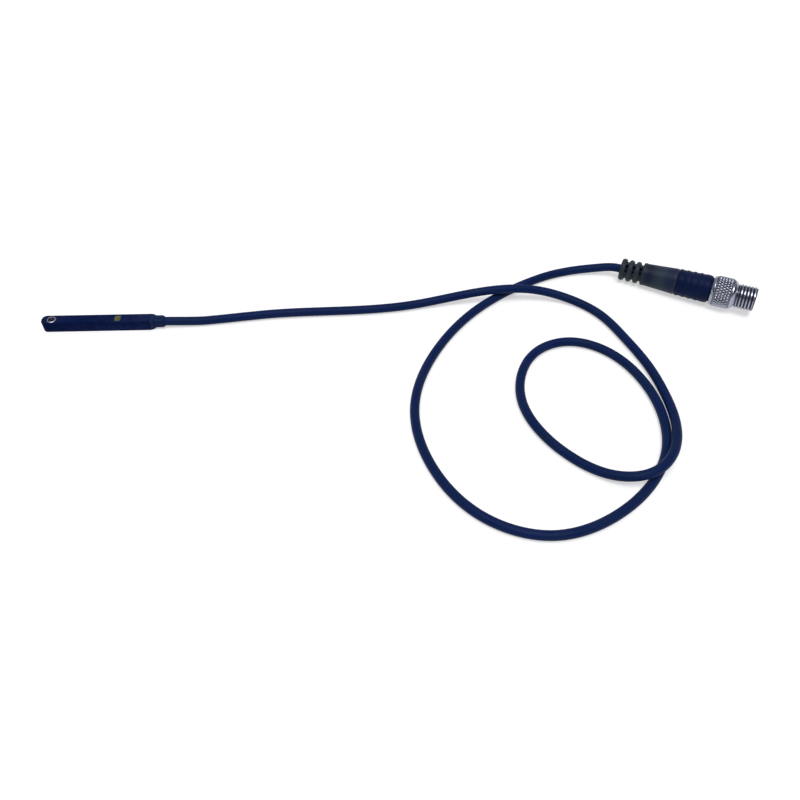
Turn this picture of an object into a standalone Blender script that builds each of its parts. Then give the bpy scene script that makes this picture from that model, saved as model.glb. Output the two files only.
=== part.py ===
"""A magnetic field sensor for a cylinder's mounting slot: a slim moulded head with a clamp screw and a light
window, a thin round cable, and a round cable plug with a knurled threaded coupling nut.

The head stands on z = 0 with its long axis along +X and the cable leaving towards +X. The origin is the middle
of the head's underside. Lengths below are in millimetres, and MM turns them into metres.
"""

import math

import bmesh
import bpy
import numpy as np
from mathutils import Euler, Matrix, Vector

MM = 0.001
TINY = 1e-7  # metres, for comparing coordinates
PAST = 1.0  # how far a cutter stands out of what it cuts

# Fits
FIT = 0.05  # gap between two pieces that touch and don't move
RUNNING_FIT = 0.1  # radial gap round a piece that turns
SCREW_FIT = 0.06  # radial gap between the clamp screw and its bush
END_PLAY = 0.15  # how far the coupling nut can slide on the plug, each way
FLOOR_GAP = 0.02  # how far the plug and the cable stay above z = 0

# Sensor head
HOUSING_LENGTH = 34.5
HEAD_WIDTH = 3.9
HEAD_HEIGHT = 3.7
WALL = 0.4
END_ROUND = 1.6  # corners of the closed end, seen from above
EDGE_ROUND = 0.3

# Cable grommet
TONGUE_LENGTH = 2.2
COLLAR_LENGTH = 1.25
COLLAR_TAPER = 0.55  # from the collar's end to the neck
COLLAR_LIFT = 0.3  # how far the collar's underside rises towards the neck
NECK_LENGTH = 2.15
NECK_CHAMFER = 0.55
NECK_LIP = 0.08  # wall round the cable at the chamfer's end
NECK_SIDE = 3.3
NECK_ROUND = 0.95
CABLE_LIFT = 0.15  # from the middle of the head's height up to the cable's axis
JACKET_STOP = 0.4  # from the housing's end to where the cable's jacket ends
CORE_BORE = 2.2
CORNER_STEPS = 5
NEARLY_ROUND = 0.97  # corner radius of a round section, as a share of its half width

# Clamp screw and its bush
BUSH_FROM_END = 3.2
BUSH_DIAMETER = 3.0
BUSH_BORE = 2.1
BUSH_WALL = 0.6  # plastic between the bush and the hollow for the board
SCREW_LENGTH = 2.7
SCREW_EDGE = 0.12  # chamfer of the bush and the screw
SCREW_RECESS = 0.55
SOCKET_ACROSS_FLATS = 1.0
SOCKET_DEPTH = 0.9

# Light window
WINDOW_FROM_OPEN_END = 10.3  # to the middle of the window
WINDOW_LENGTH = 2.1
WINDOW_WIDTH = 2.7
WINDOW_EDGE = 0.08

# Circuit board and what it carries
BOARD_THICKNESS = 0.4
BOARD_UNDERSIDE = 1.35
BOARD_END_GAP = 0.3  # from the hollow's closed end to the board
LEAD_SPACE = 1.3  # from the board to the grommet's tongue
LEAD_ON_BOARD = 1.0  # how far each core reaches over the board
SENSING_CHIP_INSET = 1.65  # from the board's closed end to the sensing chip
CHIP_SIZES = {  # length, width and height, in their order along the board
    "sensing_chip": (1.8, 1.5, 0.75),
    "protection_diode": (1.7, 0.9, 0.6),
    "output_chip": (2.2, 1.4, 0.9),
    "chip_resistor": (1.0, 0.5, 0.35),
    "status_led": (1.6, 0.8, 0.6),
    "chip_capacitor": (1.0, 0.5, 0.5),
}

# Cable
CABLE_DIAMETER = 2.8
CORE_DIAMETER = 0.76
CORE_SPREAD = 0.52  # from the cable's axis to each core's
CABLE_STEP = 5.2  # between the points of the cable's axis
CORE_FAN = 4.0  # over which the cores spread out to the contacts
CORE_STRAIGHT = 0.8  # at each contact
CORE_GUIDE = 2.0  # between the two points that keep a core or the cable straight before a bend
CORE_DROP = 0.4  # from the grommet's tongue, and from the board, to where each core bends down to the board
CORE_DROP_GUIDE = 0.7  # between the two points that keep a core straight before it bends down

# Plug, along its axis from the face where the cable enters
RING_COUNT = 3
RING_PITCH = 2.35
RING_WIDTH = 1.7
RING_DIAMETER = 7.3
RING_STEPS = 6
RING_FULLNESS = 0.7  # 1 gives a sine's shape, and less a blunter ring
FIRST_RING_EDGE = 0.45  # how far the first ring's rear edge is rounded off
RELIEF_CORE_DIAMETER = 5.5
RELIEF_WINDOW_HEIGHT = 2.6
RELIEF_WINDOW_EXTRA = 0.1  # how far each opening cuts into the rings beside it
RELIEF_WINDOW_ROLL = 50.0  # degrees that the strain relief's open side is turned up from level
RELIEF_REAR_DIAMETER = 7.3
LAST_RIDGE_RISE = 0.13  # of the low ridge behind the last ring
SEAM = 18.7  # where the strain relief meets the grip
SEAM_DIAMETER = 8.65
SEAM_EDGE = 0.15  # how far both sides are rounded in at the seam
GRIP_DIAMETER = 9.1
RIDGE_COUNT = 4
RIDGE_PITCH = 2.1
RIDGE_HEIGHT = 0.22
GRIP_END = 29.6
GRIP_SHOULDER = 1.3
SHOULDER_STEPS = 4
GRIP_NOSE_DIAMETER = 7.9
JACKET_INSIDE = 9.0  # how far the cable's jacket goes into the plug
MOULD_DIAMETER = 6.0
MOULD_BORE = 2.9
MOULD_FLARE = 0.8  # how much wider the bore is round the contacts' cups
MOULD_FLARE_START = 4.6  # from the cups back to where the bore starts to widen
MOULD_FLARE_LENGTH = 2.8
MOULD_EDGE = 0.5

# Coupling nut
NUT_START = 30.0
NUT_HEAD_LENGTH = 7.6  # the knurled ring with both its chamfers
KNURL_DIAMETER = 10.0
KNURL_DEPTH = 0.28
KNURL_ROWS = 3  # whole diamonds along the band
KNURL_AROUND = 33
PLAIN_BAND = 0.3  # smooth metal on each side of the knurl
REAR_CHAMFER = 0.55
FRONT_CHAMFER = 1.0
FRONT_CHAMFER_DEPTH = 0.8
THREAD_RELIEF = 0.3
THREAD_LENGTH = 5.8
THREAD_CHAMFER = 0.4
THREAD_DIAMETER = 8.0
THREAD_PITCH = 1.0
THREAD_DEPTH = 0.5
NUT_BORE = 6.8
FLANGE_DIAMETER = 8.1
FLANGE_THICKNESS = 1.0
FLANGE_FROM_NUT_START = 2.4

# Contact carrier and pins
CARRIER_TAIL_DIAMETER = 5.4
CARRIER_TAIL_LENGTH = 5.0
COLLAR_WALL = 0.45
COLLAR_EDGE = 0.12
SOCKET_FROM_TIP = 5.6  # depth of the socket round the pins, from the nut's tip
COLLAR_FROM_TIP = 0.5
KEY_WIDTH = 0.7
KEY_HEIGHT = 0.5
PIN_DIAMETER = 1.0
PIN_CIRCLE = 1.5  # radius
PIN_ANGLES = (200.0, -20.0, 90.0)
PIN_FROM_TIP = 1.1
PIN_CUP_LENGTH = 1.4
PIN_CUP_DIAMETER = 1.25

# Where the plug lies
PLUG_REAR_X = 170.7
PLUG_REAR_Y = 20.3
PLUG_HEADING = -26.3  # degrees from +X, seen from above

# The route of the cable's axis, chosen by hand. It passes over the cable's own later run near (131.5, 9.8)
# and near (163, -65), and lies on the floor between.
CABLE_ROUTE = (
    (31.1, 0.5, 1.45),
    (50.1, 2.8, 1.45),
    (69.5, 3.9, 1.45),
    (89.0, 4.8, 1.45),
    (99.5, 6.2, 1.6),
    (109.5, 8.0, 2.3),
    (120.0, 9.0, 3.9),
    (131.4, 9.7, 4.7),
    (142.3, 9.6, 3.5),
    (151.6, 7.1, 1.8),
    (159.1, 1.0, 1.45),
    (165.4, -10.8, 1.45),
    (170.0, -23.1, 1.45),
    (172.3, -37.1, 1.9),
    (172.1, -46.7, 2.9),
    (170.0, -55.5, 4.0),
    (165.9, -62.5, 4.7),
    (159.9, -66.6, 4.5),
    (152.3, -65.9, 2.7),
    (144.5, -61.4, 1.5),
    (135.5, -52.0, 1.45),
    (129.9, -38.4, 1.45),
    (131.4, -25.2, 1.45),
    (138.1, -15.7, 1.45),
    (148.2, -12.5, 1.45),
    (159.0, -17.3, 1.45),
    (166.6, -28.6, 1.45),
    (169.6, -43.5, 1.45),
    (167.5, -56.6, 1.45),
    (161.1, -67.4, 1.45),
    (150.3, -76.9, 1.45),
    (131.6, -83.2, 1.45),
    (114.6, -77.2, 1.45),
    (102.2, -60.7, 1.45),
    (98.2, -38.5, 1.45),
    (105.4, -16.2, 1.45),
    (118.9, 2.1, 1.45),
    (137.3, 15.8, 1.45),
    (154.0, 22.3, 1.5),
    (163.5, 22.5, 2.5),
)

# Sizes worked out from the ones above
HEAD_LENGTH = HOUSING_LENGTH + COLLAR_LENGTH + COLLAR_TAPER + NECK_LENGTH + NECK_CHAMFER
CLOSED_END = -HEAD_LENGTH / 2
OPEN_END = CLOSED_END + HOUSING_LENGTH
NECK_END = CLOSED_END + HEAD_LENGTH
TONGUE_START = OPEN_END - TONGUE_LENGTH
CABLE_RADIUS = CABLE_DIAMETER / 2
CORE_RADIUS = CORE_DIAMETER / 2
CABLE_EXIT_HEIGHT = HEAD_HEIGHT / 2 + CABLE_LIFT
CAVITY_WIDTH = HEAD_WIDTH - 2 * WALL
CAVITY_HEIGHT = HEAD_HEIGHT - WALL
BUSH_X = CLOSED_END + BUSH_FROM_END
CAVITY_START = BUSH_X + BUSH_DIAMETER / 2 + FIT + BUSH_WALL
BOARD_START = CAVITY_START + BOARD_END_GAP
BOARD_END = TONGUE_START - LEAD_SPACE
BOARD_TOP = BOARD_UNDERSIDE + BOARD_THICKNESS
WINDOW_X = OPEN_END - WINDOW_FROM_OPEN_END
RELIEF_BORE_RADIUS = CABLE_RADIUS + FIT
RINGS_END = RING_COUNT * RING_PITCH
MOULD_START = JACKET_INSIDE + 0.4
NUT_TIP = NUT_START + NUT_HEAD_LENGTH + THREAD_RELIEF + THREAD_LENGTH
FLANGE_START = NUT_START + FLANGE_FROM_NUT_START
FLANGE_END = FLANGE_START + FLANGE_THICKNESS
CARRIER_START = FLANGE_START - CARRIER_TAIL_LENGTH
SOCKET_FLOOR = NUT_TIP - SOCKET_FROM_TIP
COLLAR_RADIUS = NUT_BORE / 2 - RUNNING_FIT
REST_ARM = NUT_START + REAR_CHAMFER + PLAIN_BAND - RING_WIDTH / 2
PLUG_TILT = math.asin((KNURL_DIAMETER - RING_DIAMETER) / 2 / REST_ARM)
PLUG_REAR_Z = (RING_DIAMETER / 2) * math.cos(PLUG_TILT) - (RING_WIDTH / 2) * math.sin(PLUG_TILT) + FLOOR_GAP


def clear_scene():
    for obj in list(bpy.data.objects):
        bpy.data.objects.remove(obj, do_unlink=True)


def new_collection(name):
    collection = bpy.data.collections.new(name)
    bpy.context.scene.collection.children.link(collection)
    return collection


def material(name, color, roughness, metallic=0.0):
    made = bpy.data.materials.new(name)
    made.use_nodes = True
    shader = made.node_tree.nodes["Principled BSDF"]
    shader.inputs["Base Color"].default_value = (*color, 1.0)
    shader.inputs["Roughness"].default_value = roughness
    shader.inputs["Metallic"].default_value = metallic
    made.diffuse_color = (*color, 1.0)
    return made


clear_scene()
SENSOR = new_collection("magnetic_field_sensor")
CUTTERS = new_collection("cutters")

PLUG_AXIS = bpy.data.objects.new("plug_axis", None)
SENSOR.objects.link(PLUG_AXIS)
PLUG_AXIS.location = Vector((PLUG_REAR_X, PLUG_REAR_Y, PLUG_REAR_Z)) * MM
PLUG_AXIS.rotation_euler = (0, math.pi / 2 - PLUG_TILT, math.radians(PLUG_HEADING))
PLUG_MATRIX = Matrix.LocRotScale(PLUG_AXIS.location, Euler(PLUG_AXIS.rotation_euler), None)


def add_object(name, mesh, finish, parent=None):
    obj = bpy.data.objects.new(name, mesh)
    SENSOR.objects.link(obj)
    obj.parent = parent
    mesh.materials.append(finish)
    mesh.shade_smooth()
    mesh.set_sharp_from_angle(angle=math.radians(35))
    return obj


def hide_cutter(obj):
    for collection in list(obj.users_collection):
        collection.objects.unlink(obj)
    CUTTERS.objects.link(obj)
    obj.hide_render = True
    obj.display_type = "WIRE"


def cut(obj, cutter, operation="DIFFERENCE"):
    """Boolean of obj with cutter, which becomes a helper."""
    hide_cutter(cutter)
    boolean = obj.modifiers.new(cutter.name, "BOOLEAN")
    boolean.object = cutter
    boolean.operation = operation
    boolean.solver = "EXACT"
    return boolean


def box_mesh(name, low, high):
    """A box between two corners given in millimetres."""
    low, high = Vector(low) * MM, Vector(high) * MM
    mesh = bpy.data.meshes.new(name)
    bm = bmesh.new()
    bmesh.ops.create_cube(bm, size=1.0)
    bmesh.ops.scale(bm, vec=high - low, verts=bm.verts)
    bmesh.ops.translate(bm, vec=(low + high) / 2, verts=bm.verts)
    bm.to_mesh(mesh)
    bm.free()
    return mesh


def box_cutter(name, low, high, parent=None):
    obj = bpy.data.objects.new(name, box_mesh(name, low, high))
    obj.parent = parent
    CUTTERS.objects.link(obj)
    return obj


def bevel_edges(mesh, chosen, width, segments):
    """Rounds the mesh's edges for which chosen(start, end) is true."""
    bm = bmesh.new()
    bm.from_mesh(mesh)
    edges = [edge for edge in bm.edges if chosen(edge.verts[0].co, edge.verts[1].co)]
    bmesh.ops.bevel(bm, geom=edges, offset=width * MM, segments=segments, affect="EDGES", profile=0.5, material=-1)
    bm.to_mesh(mesh)
    bm.free()


def turned(name, profile, finish, steps, parent=None):
    """A solid of revolution about local Z.

    The profile lists (distance along the axis, radius) in millimetres: down the outer side from the nose, then up
    the bore. A profile that starts and ends on the axis has no bore.
    """
    on_axis = profile[0][1] == 0 and profile[-1][1] == 0
    mesh = bpy.data.meshes.new(name)
    bm = bmesh.new()
    verts = [bm.verts.new((radius * MM, 0, along * MM)) for along, radius in profile]
    for start, end in zip(verts, verts[1:]):
        bm.edges.new((start, end))
    if not on_axis:
        bm.edges.new((verts[-1], verts[0]))
    bm.to_mesh(mesh)
    bm.free()
    obj = add_object(name, mesh, finish, parent)
    screw = obj.modifiers.new("turn", "SCREW")
    screw.axis = "Z"
    screw.angle = 2 * math.pi
    screw.steps = screw.render_steps = steps
    screw.use_merge_vertices = True
    screw.merge_threshold = 0.000001
    screw.use_normal_calculate = False
    return obj


def cylinder_cutter(name, radius, low, high, centre=(0, 0), steps=24, parent=None):
    """A round cutter along local Z between two heights, in millimetres."""
    mesh = bpy.data.meshes.new(name)
    bm = bmesh.new()
    place = Matrix.Translation(Vector((centre[0], centre[1], (low + high) / 2)) * MM)
    bmesh.ops.create_cone(
        bm,
        cap_ends=True,
        segments=steps,
        radius1=radius * MM,
        radius2=radius * MM,
        depth=(high - low) * MM,
        matrix=place,
    )
    bm.to_mesh(mesh)
    bm.free()
    obj = bpy.data.objects.new(name, mesh)
    obj.parent = parent
    CUTTERS.objects.link(obj)
    return obj


def smooth_points(points, spacing):
    """Even points, about as far apart as spacing says, on the natural cubic curve through the given ones."""
    points = np.array(points, dtype=float)
    at = np.concatenate([[0.0], np.cumsum(np.linalg.norm(np.diff(points, axis=0), axis=1))])
    step = np.diff(at)
    rows = len(points)
    system = np.eye(rows)
    wanted = np.zeros((rows, 3))
    for i in range(1, rows - 1):
        system[i, i - 1 : i + 2] = (step[i - 1], 2 * (step[i - 1] + step[i]), step[i])
        wanted[i] = 6 * ((points[i + 1] - points[i]) / step[i] - (points[i] - points[i - 1]) / step[i - 1])
    bend = np.linalg.solve(system, wanted)
    fine = np.linspace(0, at[-1], 4000)
    piece = np.clip(np.searchsorted(at, fine, side="right") - 1, 0, rows - 2)
    length = step[piece][:, None]
    after = (fine - at[piece])[:, None]
    before = length - after
    curve = (
        bend[piece] * before**3 / (6 * length)
        + bend[piece + 1] * after**3 / (6 * length)
        + (points[piece] / length - bend[piece] * length / 6) * before
        + (points[piece + 1] / length - bend[piece + 1] * length / 6) * after
    )
    run = np.concatenate([[0.0], np.cumsum(np.linalg.norm(np.diff(curve, axis=0), axis=1))])
    even = np.linspace(0, run[-1], round(run[-1] / spacing) + 1)
    return [Vector([np.interp(value, run, curve[:, axis]) for axis in range(3)]) for value in even]


def tube(name, points, radius, finish):
    """A round solid along points given in millimetres."""
    curve = bpy.data.curves.new(name, "CURVE")
    curve.dimensions = "3D"
    curve.bevel_depth = radius * MM
    curve.bevel_resolution = 2
    curve.use_fill_caps = True
    spline = curve.splines.new("POLY")
    spline.points.add(len(points) - 1)
    for slot, point in zip(spline.points, points):
        slot.co = (*(point * MM), 1.0)
    curve.materials.append(finish)
    obj = bpy.data.objects.new(name, curve)
    SENSOR.objects.link(obj)
    return obj


def plug_point(along, across=0.0, up=0.0):
    """A point given along the plug's axis and off it, in millimetres in the object's own frame.

    The empty's local X points down when the plug lies flat, so up is minus X there.
    """
    return PLUG_MATRIX @ (Vector((-up, across, along)) * MM) / MM


NAVY = material("navy_housing", (0.016, 0.024, 0.095), 0.45)
GROMMET = material("smoke_grommet", (0.045, 0.07, 0.08), 0.4)
POTTING = material("dark_potting", (0.02, 0.022, 0.03), 0.35)
NICKEL = material("nickel_plate", (0.62, 0.61, 0.64), 0.3, 1.0)
STEEL = material("bright_steel", (0.5, 0.5, 0.52), 0.3, 1.0)
AMBER = material("amber_window", (0.33, 0.3, 0.1), 0.25)
BOARD_GREEN = material("board_green", (0.02, 0.12, 0.05), 0.5)
CHIP_BLACK = material("chip_black", (0.02, 0.02, 0.022), 0.5)
LED_BODY = material("led_body", (0.8, 0.7, 0.35), 0.3)
CERAMIC = material("ceramic", (0.55, 0.45, 0.32), 0.5)
CABLE_NAVY = material("cable_navy", (0.012, 0.022, 0.09), 0.5)
CORE_FINISHES = {
    "brown": material("core_brown", (0.16, 0.06, 0.03), 0.45),
    "blue": material("core_blue", (0.03, 0.1, 0.4), 0.45),
    "black": material("core_black", (0.02, 0.02, 0.02), 0.45),
}
SMOKE = material("smoke_relief", (0.05, 0.075, 0.1), 0.4)
GRIP = material("grip_navy", (0.015, 0.025, 0.1), 0.45)
MOULD = material("inner_mould", (0.02, 0.03, 0.07), 0.5)
CARRIER = material("carrier_black", (0.02, 0.02, 0.022), 0.5)
GOLD = material("gold_plate", (0.83, 0.62, 0.25), 0.25, 1.0)


def housing():
    """The moulded body: solid round the bush, then a shell that is open below and at the cable end."""
    low = (CLOSED_END, -HEAD_WIDTH / 2, 0)
    high = (OPEN_END, HEAD_WIDTH / 2, HEAD_HEIGHT)
    mesh = box_mesh("housing", low, high)
    end, top = CLOSED_END * MM, HEAD_HEIGHT * MM

    def upright_at_closed_end(a, b):
        return abs(a.x - end) < TINY and abs(b.x - end) < TINY and abs(a.z - b.z) > TINY

    def along_the_top(a, b):
        both_high = a.z > top - TINY and b.z > top - TINY
        return both_high and not (a.x > OPEN_END * MM - TINY and b.x > OPEN_END * MM - TINY)

    bevel_edges(mesh, upright_at_closed_end, END_ROUND, 8)
    bevel_edges(mesh, along_the_top, EDGE_ROUND, 3)
    obj = add_object("housing", mesh, NAVY)
    cavity = box_cutter(
        "cavity",
        (CAVITY_START, -CAVITY_WIDTH / 2, -PAST),
        (OPEN_END + PAST, CAVITY_WIDTH / 2, CAVITY_HEIGHT),
    )
    cut(obj, cavity)
    cut(obj, cylinder_cutter("bush_hole", BUSH_DIAMETER / 2 + FIT, -PAST, HEAD_HEIGHT + PAST, (BUSH_X, 0), 32))
    half_length, half_width = WINDOW_LENGTH / 2 + FIT, WINDOW_WIDTH / 2 + FIT
    window_hole = box_cutter(
        "window_hole",
        (WINDOW_X - half_length, -half_width, CAVITY_HEIGHT - PAST),
        (WINDOW_X + half_length, half_width, HEAD_HEIGHT + PAST),
    )
    cut(obj, window_hole)


def potting():
    """The cast filling below the board, flush with the housing's rim."""
    mesh = box_mesh(
        "potting",
        (CAVITY_START + FIT, -CAVITY_WIDTH / 2 + FIT, 0),
        (TONGUE_START - FIT, CAVITY_WIDTH / 2 - FIT, BOARD_UNDERSIDE - FIT),
    )
    add_object("potting", mesh, POTTING)


def bush_and_screw():
    """The metal bush through the head and the socket screw in it."""
    outer, bore, edge = BUSH_DIAMETER / 2, BUSH_BORE / 2, SCREW_EDGE
    bush = turned(
        "screw_bush",
        (
            (HEAD_HEIGHT, bore + edge),
            (HEAD_HEIGHT, outer - edge),
            (HEAD_HEIGHT - edge, outer),
            (FIT, outer),
            (FIT, bore),
            (HEAD_HEIGHT - edge, bore),
        ),
        NICKEL,
        32,
    )
    bush.location = (BUSH_X * MM, 0, 0)
    top = HEAD_HEIGHT - SCREW_RECESS
    low = top - SCREW_LENGTH
    radius = bore - SCREW_FIT
    screw = turned(
        "clamp_screw",
        (
            (top, 0),
            (top, radius - edge),
            (top - edge, radius),
            (low + 2 * edge, radius),
            (low, radius - 2 * edge),
            (low, 0),
        ),
        STEEL,
        24,
    )
    screw.location = (BUSH_X * MM, 0, 0)
    across_corners = SOCKET_ACROSS_FLATS / 2 / math.cos(math.pi / 6)
    cut(screw, cylinder_cutter("hex_socket", across_corners, top - SOCKET_DEPTH, top + PAST, (BUSH_X, 0), 6))


def chip_places():
    """The middle of each part along the board: the light under the window, and the others with even gaps."""
    length = {name: size[0] for name, size in CHIP_SIZES.items()}
    sensing_end = BOARD_START + SENSING_CHIP_INSET + length["sensing_chip"]
    light_start = WINDOW_X - length["status_led"] / 2
    light_end = WINDOW_X + length["status_led"] / 2
    between = ("protection_diode", "output_chip", "chip_resistor")
    gap = (light_start - sensing_end - sum(length[name] for name in between)) / (len(between) + 1)
    places = {"sensing_chip": sensing_end - length["sensing_chip"] / 2, "status_led": WINDOW_X}
    start = sensing_end
    for name in between:
        places[name] = start + gap + length[name] / 2
        start += gap + length[name]
    places["chip_capacitor"] = (light_end + BOARD_END - LEAD_ON_BOARD) / 2
    return places


def board_and_chips():
    add_object(
        "circuit_board",
        box_mesh(
            "circuit_board",
            (BOARD_START, -CAVITY_WIDTH / 2 + FIT, BOARD_UNDERSIDE),
            (BOARD_END, CAVITY_WIDTH / 2 - FIT, BOARD_TOP),
        ),
        BOARD_GREEN,
    )
    finishes = {"status_led": LED_BODY, "chip_resistor": CHIP_BLACK, "chip_capacitor": CERAMIC}
    places = chip_places()
    for name, (length, width, height) in CHIP_SIZES.items():
        middle = places[name]
        base = BOARD_TOP + FIT
        mesh = box_mesh(
            name,
            (middle - length / 2, -width / 2, base),
            (middle + length / 2, width / 2, base + height),
        )
        add_object(name, mesh, finishes.get(name, CHIP_BLACK))


def light_window():
    """A clear block in the roof, standing just over the light."""
    low = BOARD_TOP + 2 * FIT + CHIP_SIZES["status_led"][2]
    mesh = box_mesh(
        "light_window",
        (WINDOW_X - WINDOW_LENGTH / 2, -WINDOW_WIDTH / 2, low),
        (WINDOW_X + WINDOW_LENGTH / 2, WINDOW_WIDTH / 2, HEAD_HEIGHT),
    )
    top = HEAD_HEIGHT * MM
    bevel_edges(mesh, lambda a, b: a.z > top - TINY and b.z > top - TINY, WINDOW_EDGE, 2)
    add_object("light_window", mesh, AMBER)


def section_points(half_width, low, high, corner):
    """A rectangle with round corners across the head, as (y, z) in millimetres, the same number of points each time."""
    points = []
    for turn, y, z in (
        (0.0, half_width - corner, high - corner),
        (0.5, -half_width + corner, high - corner),
        (1.0, -half_width + corner, low + corner),
        (1.5, half_width - corner, low + corner),
    ):
        for step in range(CORNER_STEPS + 1):
            angle = (turn + 0.5 * step / CORNER_STEPS) * math.pi
            points.append((y + corner * math.cos(angle), z + corner * math.sin(angle)))
    return points


def lofted(name, sections, finish):
    """One closed ring of sections (x, half width, low, high, corner radius), so that the last joins the first."""
    mesh = bpy.data.meshes.new(name)
    bm = bmesh.new()
    rings = []
    for x, *shape in sections:
        rings.append([bm.verts.new((x * MM, y * MM, z * MM)) for y, z in section_points(*shape)])
    for ring, after in zip(rings, rings[1:] + rings[:1]):
        for i in range(len(ring)):
            j = (i + 1) % len(ring)
            bm.faces.new((ring[i], ring[j], after[j], after[i]))
    bm.to_mesh(mesh)
    bm.free()
    return add_object(name, mesh, finish)


def grommet():
    """The cable's soft entry: a tongue inside the housing, a collar against its end and a thinner neck."""
    middle, half_head, half_neck = CABLE_EXIT_HEIGHT, HEAD_WIDTH / 2, NECK_SIDE / 2
    collar_end = OPEN_END + COLLAR_LENGTH
    neck_start = collar_end + COLLAR_TAPER
    bore = CABLE_RADIUS + FIT
    tongue = (CAVITY_WIDTH / 2 - FIT, FIT, CAVITY_HEIGHT - FIT, EDGE_ROUND)
    neck = (half_neck, middle - half_neck, middle + half_neck, NECK_ROUND)
    rim = bore + NECK_LIP
    lip = (rim, middle - rim, middle + rim, NEARLY_ROUND * rim)
    hole = (bore, middle - bore, middle + bore, NEARLY_ROUND * bore)
    small = CORE_BORE / 2
    core_hole = (small, middle - small, middle + small, NEARLY_ROUND * small)
    stop = OPEN_END + JACKET_STOP - FIT
    lofted(
        "cable_grommet",
        (
            (TONGUE_START, *tongue),
            (OPEN_END + FIT, *tongue),
            (OPEN_END + FIT, half_head, 0, HEAD_HEIGHT, EDGE_ROUND),
            (collar_end, half_head - FIT, COLLAR_LIFT, HEAD_HEIGHT - FIT / 2, 2 * EDGE_ROUND),
            (neck_start, *neck),
            (NECK_END - NECK_CHAMFER, *neck),
            (NECK_END, *lip),
            (NECK_END, *hole),
            (stop, *hole),
            (stop, *core_hole),
            (TONGUE_START, *core_hole),
        ),
        GROMMET,
    )


def strain_relief():
    """The bending sleeve: rings joined by ribs, open between them, then a smooth tapering sleeve to the seam."""
    bore = RELIEF_BORE_RADIUS
    ring, core, half = RING_DIAMETER / 2, RELIEF_CORE_DIAMETER / 2, RING_WIDTH / 2
    cavity = MOULD_DIAMETER / 2 + FIT
    seam_radius = SEAM_DIAMETER / 2
    outer = []
    for i in range(RING_COUNT):
        middle = half + i * RING_PITCH
        for step in range(RING_STEPS + 1):
            turn = math.pi * step / RING_STEPS
            swell = math.sin(turn) ** RING_FULLNESS
            base = core if i or step else ring - FIRST_RING_EDGE
            outer.append((middle - half * math.cos(turn), base + (ring - base) * swell))
    rear = RELIEF_REAR_DIAMETER / 2
    outer += [
        (RINGS_END, core),
        (RINGS_END + 0.2 * RING_WIDTH, rear - LAST_RIDGE_RISE),
        (RINGS_END + 0.5 * RING_WIDTH, rear + LAST_RIDGE_RISE),
        (RINGS_END + RING_WIDTH, rear),
        (SEAM - 4 * SEAM_EDGE, seam_radius - SEAM_EDGE / 2),
        (SEAM - FIT, seam_radius - SEAM_EDGE),
    ]
    profile = list(reversed(outer))
    profile += [(0, bore), (MOULD_START - 2 * FIT, bore), (MOULD_START, cavity), (SEAM - FIT, cavity)]
    obj = turned("strain_relief", profile, SMOKE, 40, PLUG_AXIS)
    for i in range(RING_COUNT):
        start = RING_WIDTH + i * RING_PITCH
        end = (i + 1) * RING_PITCH
        window = box_cutter(
            f"relief_window_{i + 1}",
            (-RELIEF_WINDOW_HEIGHT / 2, -RING_DIAMETER, start - RELIEF_WINDOW_EXTRA),
            (RELIEF_WINDOW_HEIGHT / 2, RING_DIAMETER, end + RELIEF_WINDOW_EXTRA),
            PLUG_AXIS,
        )
        window.rotation_euler = (0, 0, -math.radians(RELIEF_WINDOW_ROLL))
        cut(obj, window)


def grip_body():
    """The ridged front of the plug, whose nose reaches a little way into the nut."""
    seam_radius, full = SEAM_DIAMETER / 2, GRIP_DIAMETER / 2
    bore = MOULD_DIAMETER / 2 + FIT
    start = SEAM + FIT
    ridges_end = start + RIDGE_COUNT * RIDGE_PITCH

    def body_radius(along):
        return seam_radius + (full - seam_radius) * min(1.0, (along - start) / (ridges_end - start))

    outer = [(start, seam_radius - SEAM_EDGE)]
    for i in range(RIDGE_COUNT):
        crest = start + (i + 0.2) * RIDGE_PITCH
        for share, rise in ((0, 0.5), (0.3, 0.2), (0.62, -0.5)):
            along = crest + share * RIDGE_PITCH
            outer.append((along, body_radius(along) + rise * RIDGE_HEIGHT))
    shoulder = GRIP_END - GRIP_SHOULDER
    nose = GRIP_NOSE_DIAMETER / 2
    outer += [(ridges_end + 0.1 * RIDGE_PITCH, full), (shoulder, full)]
    for step in range(1, SHOULDER_STEPS + 1):
        turn = step / SHOULDER_STEPS * math.pi / 2
        outer.append((shoulder + GRIP_SHOULDER * math.sin(turn), nose + (full - nose) * math.cos(turn)))
    nose_end = FLANGE_START - FIT
    outer.append((nose_end, nose))
    tail_bore = CARRIER_TAIL_DIAMETER / 2 + FIT
    profile = list(reversed(outer))
    profile += [(start, bore), (CARRIER_START - 2 * FIT, bore), (CARRIER_START - FIT, tail_bore), (nose_end, tail_bore)]
    turned("grip_body", profile, GRIP, 40, PLUG_AXIS)


def inner_mould():
    """The first moulding, which holds the cores where they leave the jacket and reach the contacts."""
    radius, bore = MOULD_DIAMETER / 2, MOULD_BORE / 2
    wide = bore + MOULD_FLARE
    cups = CARRIER_START - PIN_CUP_LENGTH
    profile = (
        (CARRIER_START - 3 * FIT, wide),
        (CARRIER_START - 3 * FIT, radius),
        (MOULD_START + MOULD_EDGE, radius),
        (MOULD_START + FIT, radius - MOULD_EDGE),
        (MOULD_START + FIT, bore),
        (cups - MOULD_FLARE_START, bore),
        (cups - MOULD_FLARE_START + MOULD_FLARE_LENGTH, wide),
    )
    turned("inner_mould", profile, MOULD, 32, PLUG_AXIS)


def pin_place(angle):
    turn = math.radians(angle)
    return PIN_CIRCLE * math.cos(turn), PIN_CIRCLE * math.sin(turn)


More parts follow.
